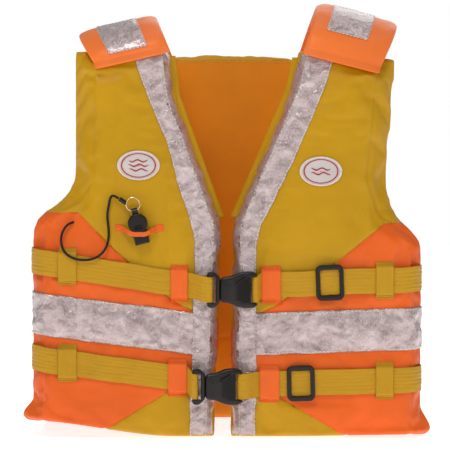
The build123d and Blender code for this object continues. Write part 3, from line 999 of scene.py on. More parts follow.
def arch_point(side, angle, across, lift=0.0):
    """A point of the shoulder arch. angle runs from 0 at the front foot to pi at the back foot.

    Below the feet, where angle is under 0 or over pi, the pad hangs down over the panel.
    """
    half = (BACK_Y - FRONT_Y) / 2 + lift
    rise = side.rise * MM + lift
    y_mid = (BACK_Y + FRONT_Y) / 2
    bent = min(math.pi, max(0, angle))
    y = y_mid - half * math.cos(bent)
    up = rise * math.sin(bent)
    beyond = max(-angle, angle - math.pi, 0)
    if beyond:
        up = -beyond * 0.04
        y += (1 if angle > 0 else -1) * min(0.006, beyond * 0.03)
    lean = math.radians(side.lean)
    slope = math.radians(side.slope)
    width = (side.shoulder[0] - side.neck[0] - 15) * MM / math.cos(slope)
    width *= 1 - 0.08 * (1 - math.sin(bent))
    start = Vector((side.sign * (side.neck[0] + side.cap_in) * MM, 0, (side.neck[1] + 2.6) * MM))
    down = Vector((side.sign * math.cos(slope), 0, -math.sin(slope)))
    upward = Vector((side.sign * math.sin(lean), 0, math.cos(lean)))
    return start + down * width * across + upward * up + Vector((0, y, 0))


def signed_power(value, power):
    return math.copysign(abs(value) ** power, value)


LIP = 0.24  # how far, in radians of arch_point, the pad hangs over the panels


def shoulder(side):
    """The padded orange cap over the shoulder, wrinkled where it bends."""
    rows = []
    steps = 96
    around = 56
    for i in range(steps + 1):
        angle = -LIP + (math.pi + 2 * LIP) * i / steps
        end = min(1, (i + 1) / 7, (steps + 1 - i) / 7)
        hang = smooth_step(-min(angle, math.pi - angle), -0.05, 0.2)
        thickness = (SHOULDER_T - 0.008 * hang) * (0.35 + 0.65 * math.sqrt(end))
        row = []
        for k in range(around):
            turn = 2 * math.pi * k / around
            across = 0.5 + 0.5 * signed_power(math.cos(turn), 0.3)
            depth = 0.5 - 0.5 * signed_power(math.sin(turn), 0.55)
            puff = 0.0022 * (1 - (2 * across - 1) ** 4)
            here = arch_point(side, angle, across, puff - thickness * depth)
            ripple = noisy(here, 40, side.seed + 30, (1.3, 0.5, 0.5)) * 1.3
            ripple += noisy(here, 90, side.seed + 31) * 0.4
            out = arch_point(side, angle, across, 0.01) - arch_point(side, angle, across, 0)
            if depth < 0.5:
                here += out.normalized() * ripple * MM if out.length > 1e-6 else Vector()
            row.append(here)
        rows.append(row)
    piece = closed_rings(f"shoulder_{side.name}_pad", rows, CAP_ORANGE)
    modify(piece, "SUBSURF", levels=1, render_levels=1)
    apply_modifiers(piece)
    skin = Skin(piece)
    finish_blend(piece, side, "shoulder_orange", SHOULDER_BEND, f"shoulder_{side.name}")
    shoulder_patch(side, skin)


def shoulder_patch(side, skin):
    """The silver patch on the shoulder cap, and its stitching."""
    low, high = side.patch_angle
    inner, outer = side.patch_across
    rows = []
    for i in range(45):
        row = []
        for k in range(33):
            here = arch_point(side, low + (high - low) * i / 44, inner + (outer - inner) * k / 32, 0.002)
            place, normal = skin.on(here, 0.0006)
            row.append(place + normal * crinkle(place, side.seed + 40) * 0.7)
        rows.append(row)
    patch = film(f"shoulder_{side.name}_film", rows, skin, 0.0006)
    finish_blend(patch, side, "tape_silver", SHOULDER_BEND, f"shoulder_patch_{side.name}")
    rims = [rows[0], rows[-1], [r[0] for r in rows], [r[-1] for r in rows]]
    thread = stitches(f"shoulder_{side.name}_stitching", rims, skin, THREAD)
    finish_blend(thread, side, "tape_silver", SHOULDER_BEND)


# ---------------------------------------------------------------- stitching
def stitches(name, lines, skin, material, spacing=0.0044, length=0.003, radius=0.0005, lift=0.0009):
    """Short thread stitches along lines on a skin, a little in front of it."""
    vertices = []
    faces = []
    for line in lines:
        for centre, along in walk(line, spacing):
            place, normal = skin.on(centre, lift)
            along = (along - normal * along.dot(normal)).normalized()
            aside = along.cross(normal)
            shift = len(vertices)
            for reach, size in ((-0.5, 0.35), (-0.3, 1), (0.3, 1), (0.5, 0.35)):
                ring = place + along * length * reach
                for k in range(6):
                    turn = math.pi * k / 3
                    spoke = aside * math.cos(turn) * 1.25 + normal * math.sin(turn)
                    vertices.append(ring + spoke * radius * size)
            faces += [tuple(i + shift for i in face) for face in grid_faces(4, 6, close_columns=True)]
            faces.append(tuple(shift + i for i in range(6)))
            faces.append(tuple(shift + 18 + i for i in range(6)))
    piece = mesh_piece(name, vertices, faces, material)
    outward(piece)
    return piece


def walk(line, spacing):
    """Evenly spaced (point, direction) pairs along a polyline."""
    left = spacing / 2
    for a, b in zip(line, line[1:]):
        run = (b - a).length
        if run < 1e-9:
            continue
        along = (b - a) / run
        while left <= run:
            yield a + along * left, along
            left += spacing
        left -= run


# ---------------------------------------------------------------- reflective tapes
def edge_tape(side, skin):
    """The film up the front edge and along the neck: its face, and the part folded round the edge."""
    s = side.sign
    top = side.neck[1] - 1
    rows = []
    for i in range(216):
        z = 1 + (top - 1) * i / 215
        edge = outline_u(side, z)
        width = tape_width(side, z)
        row = []
        for k in range(17):
            across = width * (1 - k / 16)
            row.append(Vector((s * (edge + 4 + (width - 4) * across / width) * MM, FRONT_Y - 0.002, z * MM)))
        for k in range(1, 8):
            row.append(Vector((s * (edge - 1) * MM, FRONT_Y + 0.004 + TAPE_WRAP * k / 7, z * MM)))
        laid = []
        for point in row:
            place, normal = skin.on(point, 0.0005)
            laid.append(place + normal * (0.0003 + crinkle(place, side.seed + 50)))
        rows.append(laid)
    piece = film(f"edge_tape_{side.name}_film", rows, skin)
    finish_piece(piece, f"front_{side.name}", "tape_silver", f"edge_tape_{side.name}")
    heights = range(2, int(top), 4)
    outer = [(outline_u(side, z) + tape_width(side, z) - 1.2, z) for z in heights]
    inner = [(outline_u(side, z) + 9, z) for z in heights]
    outer, inner = [[Vector((s * u * MM, FRONT_Y, z * MM)) for u, z in line] for line in (outer, inner)]
    apex = side.apex[1]
    edge = outline_u(side, apex)
    mitre = [
        Vector((s * (edge + 6 + 24 * t) * MM, FRONT_Y, (apex - 4 - 7 * t) * MM))
        for t in (0, 0.25, 0.5, 0.75, 1)
    ]
    thread = stitches(f"edge_tape_{side.name}_stitching", [outer, inner, mitre], skin, THREAD, lift=0.0018)
    finish_piece(thread, f"front_{side.name}", "tape_silver")


SIDE_LIFT = 0.0004  # how far the belts' middle lies off the vest's sides


def plan_path(lift, u_from, part):
    """(u, y) points of the vest's outside seen from above, for the front, side or back of one side."""
    r = CORNER_R + lift
    out = SIDE_U - CORNER_R
    points = []
    if part == "front":
        steps = max(2, int((out - u_from) / 0.0022))
        points += [(u_from + (out - u_from) * i / steps, FRONT_Y - lift) for i in range(steps)]
        for a in quarter(16):
            r = CORNER_R + lift + (SIDE_LIFT - lift) * a * 2 / math.pi
            points.append((out + r * math.sin(a), FRONT_Y + CORNER_R - r * math.cos(a)))
        points.append((out + r, FRONT_Y + FRONT_T - 0.002))
    elif part == "side":
        y0 = FRONT_Y + FRONT_T - 0.003
        y1 = BACK_Y - BACK_T + 0.003
        points += [(out + r, y0 + (y1 - y0) * i / 76) for i in range(77)]
    else:
        points.append((out + r, BACK_Y - BACK_T + 0.002))
        points += [(out + r * math.cos(a), BACK_Y - CORNER_R + r * math.sin(a)) for a in quarter(12)]
    return points


def quarter(steps):
    return [math.pi / 2 * i / steps for i in range(steps + 1)]


def film_band(name, middles, skin, seed, columns):
    """The wide reflective band along its (x, y, z) middle points, and its stitching."""
    rows = []
    for x, y, z_mid in middles:
        row = []
        for k in range(columns):
            z = z_mid + BAND_WIDTH * (k / (columns - 1) - 0.5)
            place, normal = skin.on(Vector((x, y, z)), 0.0006)
            row.append(place + normal * (0.0002 + crinkle(place, seed)))
        rows.append(row)
    piece = film(f"{name}_film", rows, skin)
    rims = [[row[1] for row in rows], [row[-2] for row in rows]]
    return piece, stitches(f"{name}_stitching", rims, skin, THREAD, lift=0.0017)


def band(side, skin, part):
    """The reflective band across the front panel, or round the side. It starts under the edge tape."""
    u_from = (outline_u(side, side.band_z[0]) + tape_width(side, side.band_z[0]) - 1) * MM
    plan = plan_path(0.0, u_from, part)
    middles = [(side.sign * u, y, line_z(side.band_z, min(u, SIDE_U) / MM)) for u, y in plan]
    name = f"band_{part}_{side.name}"
    piece, thread = film_band(name, middles, skin, side.seed + 60, 25)
    if part == "front":
        finish_piece(piece, f"front_{side.name}", "tape_silver", name)
        finish_piece(thread, f"front_{side.name}", "tape_silver")
    else:
        finish_blend(piece, side, "tape_silver", SIDE_BEND, name)
        finish_blend(thread, side, "tape_silver", SIDE_BEND)


def round_back(lift, z_right, z_left, steps):
    """(x, y, z) points across the back, from the wearer's right side to the left."""
    right = plan_path(lift, 0, "back")
    out = SIDE_U - CORNER_R
    flat = [(-out + 2 * out * i / steps, BACK_Y + lift) for i in range(1, steps)]
    plan = [(-u, y) for u, y in right] + flat + [(u, y) for u, y in reversed(right)]
    return [(x, y, z_right + (z_left - z_right) * (x + SIDE_U) / (2 * SIDE_U)) for x, y in plan]


def back_heights(right_span, left_span):
    """Heights at the vest's two sides of a strip that runs across the back."""
    return line_z(right_span, SIDE_U / MM), line_z(left_span, SIDE_U / MM)


def back_band(skin):
    middles = round_back(0.0, *back_heights(RIGHT.band_z, LEFT.band_z), 190)
    piece, thread = film_band("band_back", middles, skin, 77.0, 21)
    finish_piece(piece, "back", "tape_silver", "band_back")
    finish_piece(thread, "back", "tape_silver")


# ---------------------------------------------------------------- belts
def belt_span(side, level):
    return side.upper_z if level == "upper" else side.lower_z


RIBS = 7


WEB_COLUMNS = 29  # points across the webbing
BELT_LIFT = 0.0012  # least height of a belt over the cover


def rounded_key(point):
    return tuple(round(c, 7) for c in point)


def lay_belt(name, route, skin, seed):
    """Webbing over a skin. route holds (middle point, outward direction) pairs, at the belt's nominal place.

    The belt stays flat across its width. It never sinks into the skin, and it is smoothed along its length.
    """
    pushes = []
    for middle, out in route:
        need = 0.0
        for k in (-0.5, -0.25, 0, 0.25, 0.5):
            point = middle + Vector((0, 0, WEB_WIDTH * k))
            place, _ = skin.on(point, 0)
            need = max(need, (place - point).dot(out) + BELT_LIFT)
        pushes.append(min(need, 0.006))
    for _ in range(8):
        pushes = [
            max(push, 0.25 * pushes[max(0, i - 1)] + 0.5 * push + 0.25 * pushes[min(len(pushes) - 1, i + 1)])
            if i % 2
            else (pushes[max(0, i - 1)] + push + pushes[min(len(pushes) - 1, i + 1)]) / 3
            for i, push in enumerate(pushes)
        ]
    rows = []
    for (middle, out), push in zip(route, pushes):
        row = []
        for k in range(WEB_COLUMNS):
            t = k / (WEB_COLUMNS - 1)
            rib = 0.00022 * math.cos(2 * math.pi * RIBS * t)
            edge_wave = noisy(middle, 45, seed) * 0.0008
            here = middle + Vector((0, 0, WEB_WIDTH * (t - 0.5) + edge_wave))
            pucker = noisy(here, 120, seed + 3, (0.35, 0.35, 2.2)) * 0.0005
            rim = -0.0004 * smooth_step(abs(2 * t - 1), 0.9, 1)
            row.append(here + out * (push + rib + pucker + rim))
        rows.append(row)
    directions = {rounded_key(p): out for row, (_, out) in zip(rows, route) for p in row}
    return thick_grid(name, rows, BELT_YELLOW, WEB_T, lambda p: -directions[rounded_key(p)])


def side_route(side, level, u_from, part):
    """The nominal place of a belt's middle line, with the way out of the vest at each point."""
    lift = FRONT_Y - BELT_Y + WEB_T / 2
    s = side.sign
    route = []
    for u, y in plan_path(lift if part != "side" else SIDE_LIFT, u_from, part):
        out_x = max(0, u - (SIDE_U - CORNER_R))
        out_y = min(0, y - (FRONT_Y + CORNER_R)) if part != "back" else max(0, y - (BACK_Y - CORNER_R))
        out = Vector((s * out_x, out_y, 0)).normalized()
        z = line_z(belt_span(side, level), min(u, SIDE_U) / MM)
        route.append((Vector((s * u, y, z)), out))
    return route


def belts(side, front_skin, side_skin):
    for level in LEVELS:
        seed = side.seed + (5 if level == "upper" else 8)
        keeper = KEEPER_U[side.name][level]
        route = side_route(side, level, (keeper[0] + 1) * MM, "front")
        piece = lay_belt(f"belt_{level}_{side.name}_web", route, front_skin, seed)
        finish_piece(piece, f"front_{side.name}", "webbing_yellow", f"belt_{level}_{side.name}")
        route = side_route(side, level, 0, "side")
        nodes = [f"belt_sides_{side.name}"] if level == "upper" else []
        piece = lay_belt(f"belt_side_{level}_{side.name}_web", route, side_skin, seed + 1)
        finish_blend(piece, side, "webbing_yellow", SIDE_BEND, *nodes)


def back_belts(skin):
    for level in LEVELS:
        z_right, z_left = back_heights(belt_span(RIGHT, level), belt_span(LEFT, level))
        route = []
        for x, y, z in round_back(0.0025, z_right, z_left, 150):
            out_x = x - math.copysign(min(abs(x), SIDE_U - CORNER_R), x)
            out = Vector((out_x, max(0, y - (BACK_Y - CORNER_R)), 0))
            route.append((Vector((x, y, z)), out.normalized()))
        piece = lay_belt(f"belt_back_{level}_web", route, skin, 31.0)
        finish_piece(piece, "back", "webbing_yellow", f"belt_back_{level}")


def keeper_strip(name, side, level, u_in, u_out, skin, material):
    """A strip of tape over a belt, sewn to the cover above and below it."""
    z_mid = line_z(belt_span(side, level), (u_in + u_out) / 2)
    half = WEB_WIDTH / 2 + 0.001
    over = BELT_Y - WEB_T / 2 - 0.0016
    rows = []
    for i in range(17):
        u = (u_in + (u_out - u_in) * i / 16) * MM
        row = []
        for k in range(45):
            dz = (half + 0.006) * (2 * k / 44 - 1)
            x = side.sign * u
            z = z_mid + dz
            base = skin.front(x, z, 0.0012).y
            share = smooth_step(half + 0.004 - abs(dz), 0, 0.0045)
            rib = 0.00015 * math.cos(2 * math.pi * 6 * i / 16)
            wave = noisy(Vector((x, 0, z)), 90, side.seed + 70) * 0.0004
            row.append(Vector((x, base + (min(over, base) - base) * share - rib - wave, z)))
        rows.append(row)
    piece = front_strip(name, rows, material, 0.0011)
    sewn = [[row[k] for row in rows] for k in (1, 4, 40, 43)]
    return piece, sewn


def keepers(side, skin):
    body = f"front_{side.name}"
    for kind, places, material, slot in (
        ("belt_keepers", KEEPER_U[side.name], KEEPER_ORANGE, "keeper_orange"),
        ("belt_tabs", {level: TAB_U[side.name] for level in LEVELS}, BELT_YELLOW, "webbing_yellow"),
    ):
        for level in LEVELS:
            name = f"{kind}_{side.name}_{level}"
            piece, sewn = keeper_strip(name, side, level, *places[level], skin, material)
            thread = stitches(f"{name}_thread", sewn, Skin(piece), material, 0.0026, 0.0019, 0.0004, 0.0003)
            finish_piece(thread, body, slot)
            finish_piece(piece, body, slot, *([f"{kind}_{side.name}"] if level == "upper" else []))


def back_keepers(skin):
    for level in LEVELS:
        z_right, z_left = back_heights(belt_span(RIGHT, level), belt_span(LEFT, level))
        for side, x_mid in (("right", -0.11), ("left", 0.11)):
            z_mid = z_right + (z_left - z_right) * (x_mid + SIDE_U) / (2 * SIDE_U)
            rows = []
            for i in range(15):
                x = x_mid - 0.01 + 0.02 * i / 14
                row = []
                for k in range(41):
                    dz = 0.022 * (2 * k / 40 - 1)
                    place, _ = skin.on(Vector((x, BACK_Y + 0.01, z_mid + dz)), 0)
                    base = place.y + 0.001
                    over = max(base, BACK_Y + 0.0062)
                    share = smooth_step(0.0195 - abs(dz), 0, 0.0045)
                    row.append(Vector((x, base + (over - base) * share, z_mid + dz)))
                rows.append(row)
            name = f"belt_keeper_back_{side}_{level}"
            piece = thick_grid(name, rows, KEEPER_ORANGE, 0.001, lambda p: Vector((0, -1, 0)))
            first = side == "right" and level == "upper"
            finish_piece(piece, "back", "keeper_orange", *(["belt_keepers_back"] if first else []))


def neck_facing(side):
    """The narrow facing inside the neck opening, past the folded tape."""
    rows = []
    for i in range(90):
        z = 262 + (side.neck[1] - 8 - 262) * i / 89
        edge = outline_u(side, z)
        row = []
        for k in range(7):
            y = FRONT_Y + FRONT_T - 0.006 + 0.005 * k / 6
            here = Vector((side.sign * (edge + 5 - 11 * k / 6) * MM, y, z * MM))
            row.append(here + Vector((0, noisy(here, 60, side.seed + 90) * 0.0012, 0)))
        rows.append(row)
    piece = front_strip(f"neck_facing_{side.name}", rows, YELLOW, 0.001)
    finish_piece(piece, f"front_{side.name}", "fabric_yellow")


def collar_stitching(skin):
    """The stitch line under the collar's turned-over hem, seen from the front."""
    y = BACK_Y - BACK_T
    line = [Vector((-0.15 + 0.31 * i / 60, y, COLLAR_Z - 0.001)) for i in range(61)]
    piece = stitches("collar_stitching", [line], skin, THREAD_YELLOW, lift=0.0006)
    finish_piece(piece, "back", "fabric_yellow")


# ---------------------------------------------------------------- oval patches
OVAL = (0.0252, 0.0176)


def on_oval(side, skin, r, turn, lift):
    x = side.sign * side.oval[0] * MM + OVAL[0] * r * math.cos(turn)
    z = side.oval[1] * MM + OVAL[1] * r * math.sin(turn)
    return skin.front(x, z, lift)


def oval_ring(name, side, skin, radii, lift, material, puff=0.0):
    """A ring of an oval patch between two shares of its radius, puffed up along its middle."""
    rows = []
    for k in range(7):
        t = k / 6
        height = lift + puff * math.sqrt(max(0, 1 - (2 * t - 1) ** 2))
        r = radii[0] + (radii[1] - radii[0]) * t
        rows.append([on_oval(side, skin, r, 2 * math.pi * i / 72, height) for i in range(73)])
    return front_strip(name, rows, material, 0.0005)


def oval_patch(side, skin):
    body = f"front_{side.name}"
    name = f"oval_patch_{side.name}"
    base = oval_ring(f"{name}_base", side, skin, (0.02, 0.95), 0.0012, PATCH_WHITE)
    finish_piece(base, body, "patch_white", name)
    rim = oval_ring(f"{name}_rim", side, skin, (0.88, 1.0), 0.0013, THREAD, 0.0008)
    finish_piece(rim, body, "patch_white")
    ring = oval_ring(f"{name}_ring", side, skin, (0.76, 0.82), 0.0016, RED_PRINT)
    finish_piece(ring, body, "patch_white")
    count = 3 if side is RIGHT else 2
    for i in range(count):
        level = (i - (count - 1) / 2) * 0.3
        reach = 0.48 - 0.12 * abs(level)
        rows = []
        for k in range(41):
            a = reach * (2 * k / 40 - 1)
            wave = level + 0.07 * math.sin(a * 12 + i)
            half = 0.045 * (1 - (2 * k / 40 - 1) ** 6)
            row = []
            for c in (-1, 0, 1):
                x = side.sign * side.oval[0] * MM + OVAL[0] * a
                row.append(skin.front(x, side.oval[1] * MM + OVAL[1] * (wave + half * c), 0.0017))
            rows.append(row)
        mark = front_strip(f"{name}_wave_{i}", rows, RED_PRINT, 0.0005)
        finish_piece(mark, body, "patch_white")


# ---------------------------------------------------------------- whistle holder
WHISTLE_FRONT_Y = -0.1224


def whistle_band(skin):
    """The elastic over the whistle: sewn down at both ends and sagging between them."""
    rows = []
    for i in range(81):
        t = i / 80
        x = -0.1315 + 0.057 * t
        across = 1 - abs(2 * t - 1)
        over = smooth_step(across, 0.22, 0.6)
        z_mid = 0.2505 - 0.0075 * smooth_step(across, 0.1, 0.85)
        half = 0.004 - 0.0012 * over
        row = []
        for k in range(13):
            a = 2 * k / 12 - 1
            z = z_mid + half * a
            base = skin.front(x, z, 0.0008).y
            y = base + (WHISTLE_FRONT_Y - base) * over - 0.0004 * (1 - a * a)
            ruffle = noisy(Vector((x, 0, z)), 320, 5.0) * 0.0005 * (1 - over)
            row.append(Vector((x, y + ruffle - 0.0003 * math.cos(a * 9), z)))
        rows.append(row)
    piece = front_strip("whistle_band_elastic", rows, KEEPER_ORANGE, 0.0009)
    finish_piece(piece, "front_right", "keeper_orange", "whistle_band")


# ---------------------------------------------------------------- belt ends on the buckles
LOOP_R = 0.0029  # middle of the webbing round a buckle's bar
MALE_BAR = 0.004  # where the webbing turns round each half's bar, from BUCKLE_X
FEMALE_BAR = 0.0565


def ribbon(name, path, z_at):
    """Webbing along a path of (x, y) points seen from above. z_at gives its middle height at x."""
    rows = []
    inward = {}
    for i, (x, y) in enumerate(path):
        before = path[max(0, i - 1)]
        after = path[min(len(path) - 1, i + 1)]
        run = Vector((after[0] - before[0], after[1] - before[1], 0)).normalized()
        out = Vector((run.y, -run.x, 0))
        row = []
        for k in range(WEB_COLUMNS):
            t = k / (WEB_COLUMNS - 1)
            rib = 0.0002 * math.cos(2 * math.pi * RIBS * t)
            pucker = noisy(Vector((x, y, t * 0.03)), 150, 3.0, (0.5, 0.5, 2)) * 0.0003
            here = Vector((x, y, z_at(x) + WEB_WIDTH * (t - 0.5))) + out * (WEB_T / 2 + rib + pucker)
            inward[rounded_key(here)] = -out
            row.append(here)
        rows.append(row)
    return thick_grid(name, rows, BELT_YELLOW, WEB_T, lambda p: inward[rounded_key(p)])


def bar_path(bar_x, run_x):
    """From the belt at run_x up to the front of a bar, once round it and back behind the first layer."""
    toward = 1 if run_x < bar_x else -1
    front = BUCKLE_Y - LOOP_R
    path = []
    for i in range(25):
        t = i / 24
        path.append((run_x + (bar_x - run_x) * t, BELT_Y + (front - BELT_Y) * smooth_step(t, 0, 0.8)))
    for i in range(1, 17):
        a = math.pi * i / 16
        path.append((bar_x + toward * LOOP_R * math.sin(a), BUCKLE_Y - LOOP_R * math.cos(a)))
    rear = BUCKLE_Y + LOOP_R
    for i in range(1, 12):
        t = i / 24
        x = bar_x + (run_x - bar_x) * t
        y = rear + (BELT_Y + 0.0018 - rear) * smooth_step(t, 0, 0.5)
        path.append((x, y))
    return path if toward > 0 else path[::-1]


def belt_ends():
    for level in LEVELS:
        keeper = {name: KEEPER_U[name][level][0] * MM for name in KEEPER_U}
        z_right = line_z(belt_span(RIGHT, level), keeper["right"] / MM)
        z_left = line_z(belt_span(LEFT, level), keeper["left"] / MM)
        male_x = BUCKLE_X[level] + MALE_BAR
        run_x = -keeper["right"] - 0.001

        def z_male(x):
            return z_right + (BUCKLE_Z[level] - z_right) * smooth_step(x, run_x, male_x)

        name = f"strap_end_{level}_web"
        piece = ribbon(name, bar_path(male_x, run_x), z_male)
        finish_piece(piece, "front_right", "webbing_yellow", f"strap_end_{level}")
        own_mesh(piece)
        bar_x = BUCKLE_X[level] + FEMALE_BAR
        run_left = keeper["left"] + 0.001

        def z_female(x):
            return z_left + (BUCKLE_Z[level] - z_left) * smooth_step(-x, -run_left, -bar_x)

        end = ribbon(f"belt_end_{level}_web", bar_path(bar_x, run_left), z_female)
        finish_piece(end, "front_left", "webbing_yellow")


# ---------------------------------------------------------------- buckles and adjusters
def plate(name, outline, holes, thickness, bevel):
    """A moulded plate from (x, z) outlines in millimetres, about y = 0, with rounded rims."""
    curve = bpy.data.curves.new(name, "CURVE")
    curve.dimensions = "2D"
    curve.fill_mode = "BOTH"
    curve.extrude = (thickness / 2 - bevel) * MM
    curve.bevel_depth = bevel * MM
    curve.bevel_resolution = 3
    curve.offset = -bevel * MM
    for loop in [outline, *holes]:
        spline = curve.splines.new("POLY")
        spline.points.add(len(loop) - 1)
        for point, (x, z) in zip(spline.points, loop):
            point.co = (x * MM, z * MM, 0, 1)
        spline.use_cyclic_u = True
    made = curve_mesh(f"{name}_curve", curve)
    made.transform(Matrix.Rotation(math.pi / 2, 4, "X"))
    made.materials.clear()
    made.materials.append(BLACK)
    with mesh_work(made) as work:
        bmesh.ops.remove_doubles(work, verts=work.verts, dist=1e-6)
        bmesh.ops.recalc_face_normals(work, faces=work.faces)
    for polygon in made.polygons:
        polygon.use_smooth = True
    return link(bpy.data.objects.new(name, made))


def brick(name, low, high):
    """A box between two corners given in millimetres."""
    xs, ys, zs = zip(low, high)
    corners = [Vector((x, y, z)) * MM for x in xs for y in ys for z in zs]
    faces = [(0, 1, 3, 2), (4, 6, 7, 5), (0, 4, 5, 1), (2, 3, 7, 6), (0, 2, 6, 4), (1, 5, 7, 3)]
    piece = mesh_piece(name, corners, faces, BLACK)
    outward(piece)
    for polygon in piece.data.polygons:
        polygon.use_smooth = False
    return piece


def carve(piece, cutters):
    for cutter in cutters:
        modifier = modify(piece, "BOOLEAN", operation="DIFFERENCE", object=cutter)
        modifier.solver = "EXACT"
        apply_modifiers(piece)
        bpy.data.objects.remove(cutter)


def joined(piece, others):
    """Adds other pieces' meshes to a piece."""
    with mesh_work(piece.data) as work:
        for other in others:
            work.from_mesh(other.data)
            bpy.data.objects.remove(other)


def soft_shading(piece):
    modify(piece, "WEIGHTED_NORMAL", keep_sharp=True)
    apply_modifiers(piece)


def mirrored(points):
    """A closed outline from its upper half, mirrored about z = 0."""
    return points + [(x, -z) for x, z in reversed(points)]


def rounded(points, count=150):
    return resampled(points, count, sharp=(), near=0, rounds=14)


SLOT = 15.4  # half height of the strap slots
MALE_OUTLINE = mirrored([(0, 15), (0, 18), (2.5, 21.4), (9, 21.2), (12.5, 17.6), (15.8, 14.4)])
FEMALE_EDGE = [(16.2, 14.3), (22, 15.4), (28.5, 16), (34, 18.8), (40, 21), (48, 21.8), (56, 21.2), (60, 17.6)]
FEMALE_OUTLINE = mirrored(FEMALE_EDGE + [(60.6, 15.6), (55.4, 15)])


def male_half(level):
    body = plate(f"buckle_male_{level}_body", rounded(MALE_OUTLINE), [], 10, 2.2)
    carve(body, [
        brick("slot", (7.3, -9, -SLOT), (10.6, 9, SLOT)),
        brick("mouth", (-2, -9, -SLOT), (2.2, 9, SLOT)),
        brick("bar_front", (2, -9, -SLOT), (8, -1.8, SLOT)),
        brick("bar_rear", (2, 1.8, -SLOT), (8, 9, SLOT)),
    ])
    tongue = brick("tongue", (14, -2.5, -3), (36, 2.5, 3))
    root = brick("root", (12, -3, -11.8), (17.4, 3, 11.8))
    joined(body, [tongue, root])
    soft_shading(body)
    put_buckle(body, level, f"male_{level}", f"buckle_male_{level}")
    for kind, sign in (("top", 1), ("bottom", -1)):
        points = [(15.9, 7.5), (31, 9), (36.5, 7.6), (37.5, 9), (33, 11.9), (31.6, 15.2)]
        points += [(22.4, 14.4), (21.4, 12), (15.9, 11.5)]
        arm = plate(f"latch_arm_{kind}_{level}_arm", [(x, z * sign) for x, z in points], [], 5, 0.5)
        soft_shading(arm)
        put_buckle(arm, level, f"latch_{kind}_{level}", f"latch_arm_{kind}_{level}")


def put_buckle(piece, level, body, node):
    piece.data.transform(Matrix.Translation((BUCKLE_X[level], BUCKLE_Y, BUCKLE_Z[level])))
    finish_piece(piece, body, "plastic_black", node)


def female_half(level):
    body = plate(f"buckle_female_{level}_body", rounded(FEMALE_OUTLINE, 190), [], 13, 3.2)
    carve(body, [
        brick("channel", (10, -3.2, -12.2), (43, 3.2, 12.2)),
        brick("window_top", (21, -3.2, 9), (33.2, 3.2, 30)),
        brick("window_bottom", (21, -3.2, -30), (33.2, 3.2, -9)),
        brick("slot", (51.6, -9, -SLOT), (54.3, 9, SLOT)),
        brick("rear_slot", (58.7, -9, -SLOT), (70, 9, SLOT)),
        brick("bar_front", (54, -9, -SLOT), (59, -1.8, SLOT)),
        brick("bar_rear", (54, 1.8, -SLOT), (59, 9, SLOT)),
    ])
    ridges = []
    for i, lift in enumerate((0, 3.2)):
        route = []
        for k in range(25):
            t = k / 24
            x = 19 + 30 * t
            z = 7.5 + lift - 3.2 * math.sin(math.pi * min(1, t * 1.7)) + 7.5 * smooth_step(t, 0.45, 1)
            route.append(Vector((x, -6.35, z)) * MM)
        ridges.append(tube(f"ridge_{i}", route, 0.0007, BLACK, sides=8))
    route = [Vector((18.4, -6.2, z)) * MM for z in range(-11, 12, 2)]
    ridges.append(tube("lip", route, 0.0008, BLACK, sides=8))
    joined(body, ridges)
    soft_shading(body)
    put_buckle(body, level, "front_left", f"buckle_female_{level}")


def rounded_box(width, height, radius):
    """The outline of a rectangle with round corners, in millimetres, about the middle."""
    points = []
    for x, z, start in ((1, 1, 0), (-1, 1, 90), (-1, -1, 180), (1, -1, 270)):
        for k in range(9):
            a = math.radians(start + 90 * k / 8)
            across = x * (width / 2 - radius) + radius * math.cos(a)
            points.append((across, z * (height / 2 - radius) + radius * math.sin(a)))
    return points


def tri_glide(level):
    span = belt_span(LEFT, level)
    slope = math.atan2(span[1] - span[0], SPAN_U[1] - SPAN_U[0])
    window = rounded_box(22.5, 30.6, 3)
    body = plate(f"strap_adjuster_{level}_body", rounded_box(33, 42.5, 7), [window], 3.4, 1.5)
    body.data.transform(Matrix.Translation((0, -0.0069, 0)))
    extra = [brick("bar", (-2.5, -2.9, -17), (2.5, -1.2, 17))]
    for sign in (1, -1):
        low, high = sorted((sign * 16, sign * 20))
        extra.append(brick("rail", (-11, -6.4, low), (11, -1.2, high)))
    joined(body, extra)
    soft_shading(body)
    height = line_z(span, GLIDE_X[level] / MM)
    turn = Matrix.Rotation(-slope, 4, "Y")
    body.data.transform(Matrix.Translation((GLIDE_X[level], FRONT_Y, height)) @ turn)
    finish_piece(body, f"adjuster_{level}", "plastic_black", f"strap_adjuster_{level}")


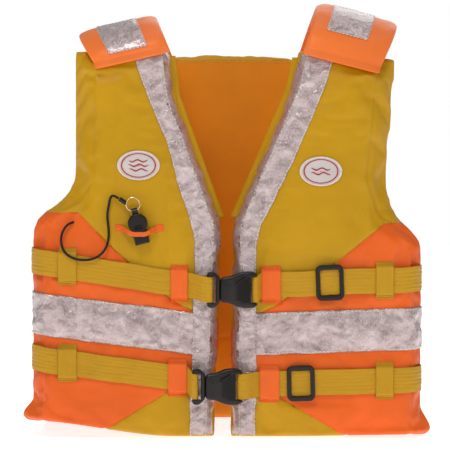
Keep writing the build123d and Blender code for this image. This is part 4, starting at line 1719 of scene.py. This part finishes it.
whole_fronts = {side.name: front_cover(side) for side in SIDES}
whole_back = back_cover()
gussets = {side.name: gusset(side) for side in SIDES}
back_skin = Skin(whole_back)
around_skin = Skin(whole_back, *gussets.values())
front_skins = {name: Skin(piece) for name, piece in whole_fronts.items()}
for a_side in SIDES:
    a_gusset = gussets[a_side.name]
    front_skin = front_skins[a_side.name]
    side_skin = Skin(a_gusset)
    shoulder(a_side)
    edge_tape(a_side, front_skin)
    band(a_side, front_skin, "front")
    band(a_side, side_skin, "side")
    belts(a_side, front_skin, side_skin)
    keepers(a_side, front_skin)
    oval_patch(a_side, front_skin)
    neck_facing(a_side)
    finish_blend(a_gusset, a_side, "fabric_orange", SIDE_BEND, f"gusset_{a_side.name}")
back_band(around_skin)
back_belts(around_skin)
back_keepers(back_skin)
whistle_band(front_skins["right"])
collar_stitching(back_skin)
for helper in [*whole_fronts.values(), whole_back]:
    bpy.data.objects.remove(helper)
belt_ends()
for a_level in LEVELS:
    male_half(a_level)
    female_half(a_level)
    tri_glide(a_level)
for node, material in (("whistle", BLACK), ("cord_crimp", BLACK), ("split_ring", BRASS)):
    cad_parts[node].data.materials.clear()
    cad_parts[node].data.materials.append(material)


# ---------------------------------------------------------------- stage
def add_world():
    """White surroundings: bright where the camera sees them, softer as a light."""
    world = bpy.data.worlds.new("studio")
    world.use_nodes = True
    nodes = world.node_tree.nodes
    links = world.node_tree.links
    seen = nodes.new("ShaderNodeLightPath")
    strength = nodes.new("ShaderNodeMapRange")
    strength.inputs["To Min"].default_value = 0.3
    strength.inputs["To Max"].default_value = 1.0
    links.new(seen.outputs["Is Camera Ray"], strength.inputs["Value"])
    links.new(strength.outputs["Result"], nodes["Background"].inputs["Strength"])
    nodes["Background"].inputs["Color"].default_value = (1, 1, 1, 1)
    bpy.context.scene.world = world


def add_stage():
    look = Look("stage_white", (0.9, 0.9, 0.9), 0.7)
    look.surface.inputs["Emission Color"].default_value = (1, 1, 1, 1)
    look.surface.inputs["Emission Strength"].default_value = 0.75
    corners = [(-6, -6, 0), (6, -6, 0), (6, 6, 0), (-6, 6, 0)]
    floor = mesh_piece("floor", corners, [(0, 1, 2, 3)], look.material)
    for name, place, size, power in (
        ("key", (-0.6, -1.9, 2.3), 0.7, 23),
        ("fill", (1.6, -1.6, 0.8), 1.4, 4),
        ("top", (0.1, 0.2, 2.3), 1.2, 7),
        ("back", (0.4, 2.0, 1.4), 1.5, 8),
    ):
        data = bpy.data.lights.new(name, "AREA")
        data.size = size
        data.energy = power
        light = link(bpy.data.objects.new(name, data))
        light.location = place
        light.rotation_euler = (Vector((0, 0, 0.25)) - Vector(place)).to_track_quat("-Z", "Y").to_euler()
    bpy.context.scene.view_settings.view_transform = "Standard"


add_world()
add_stage()
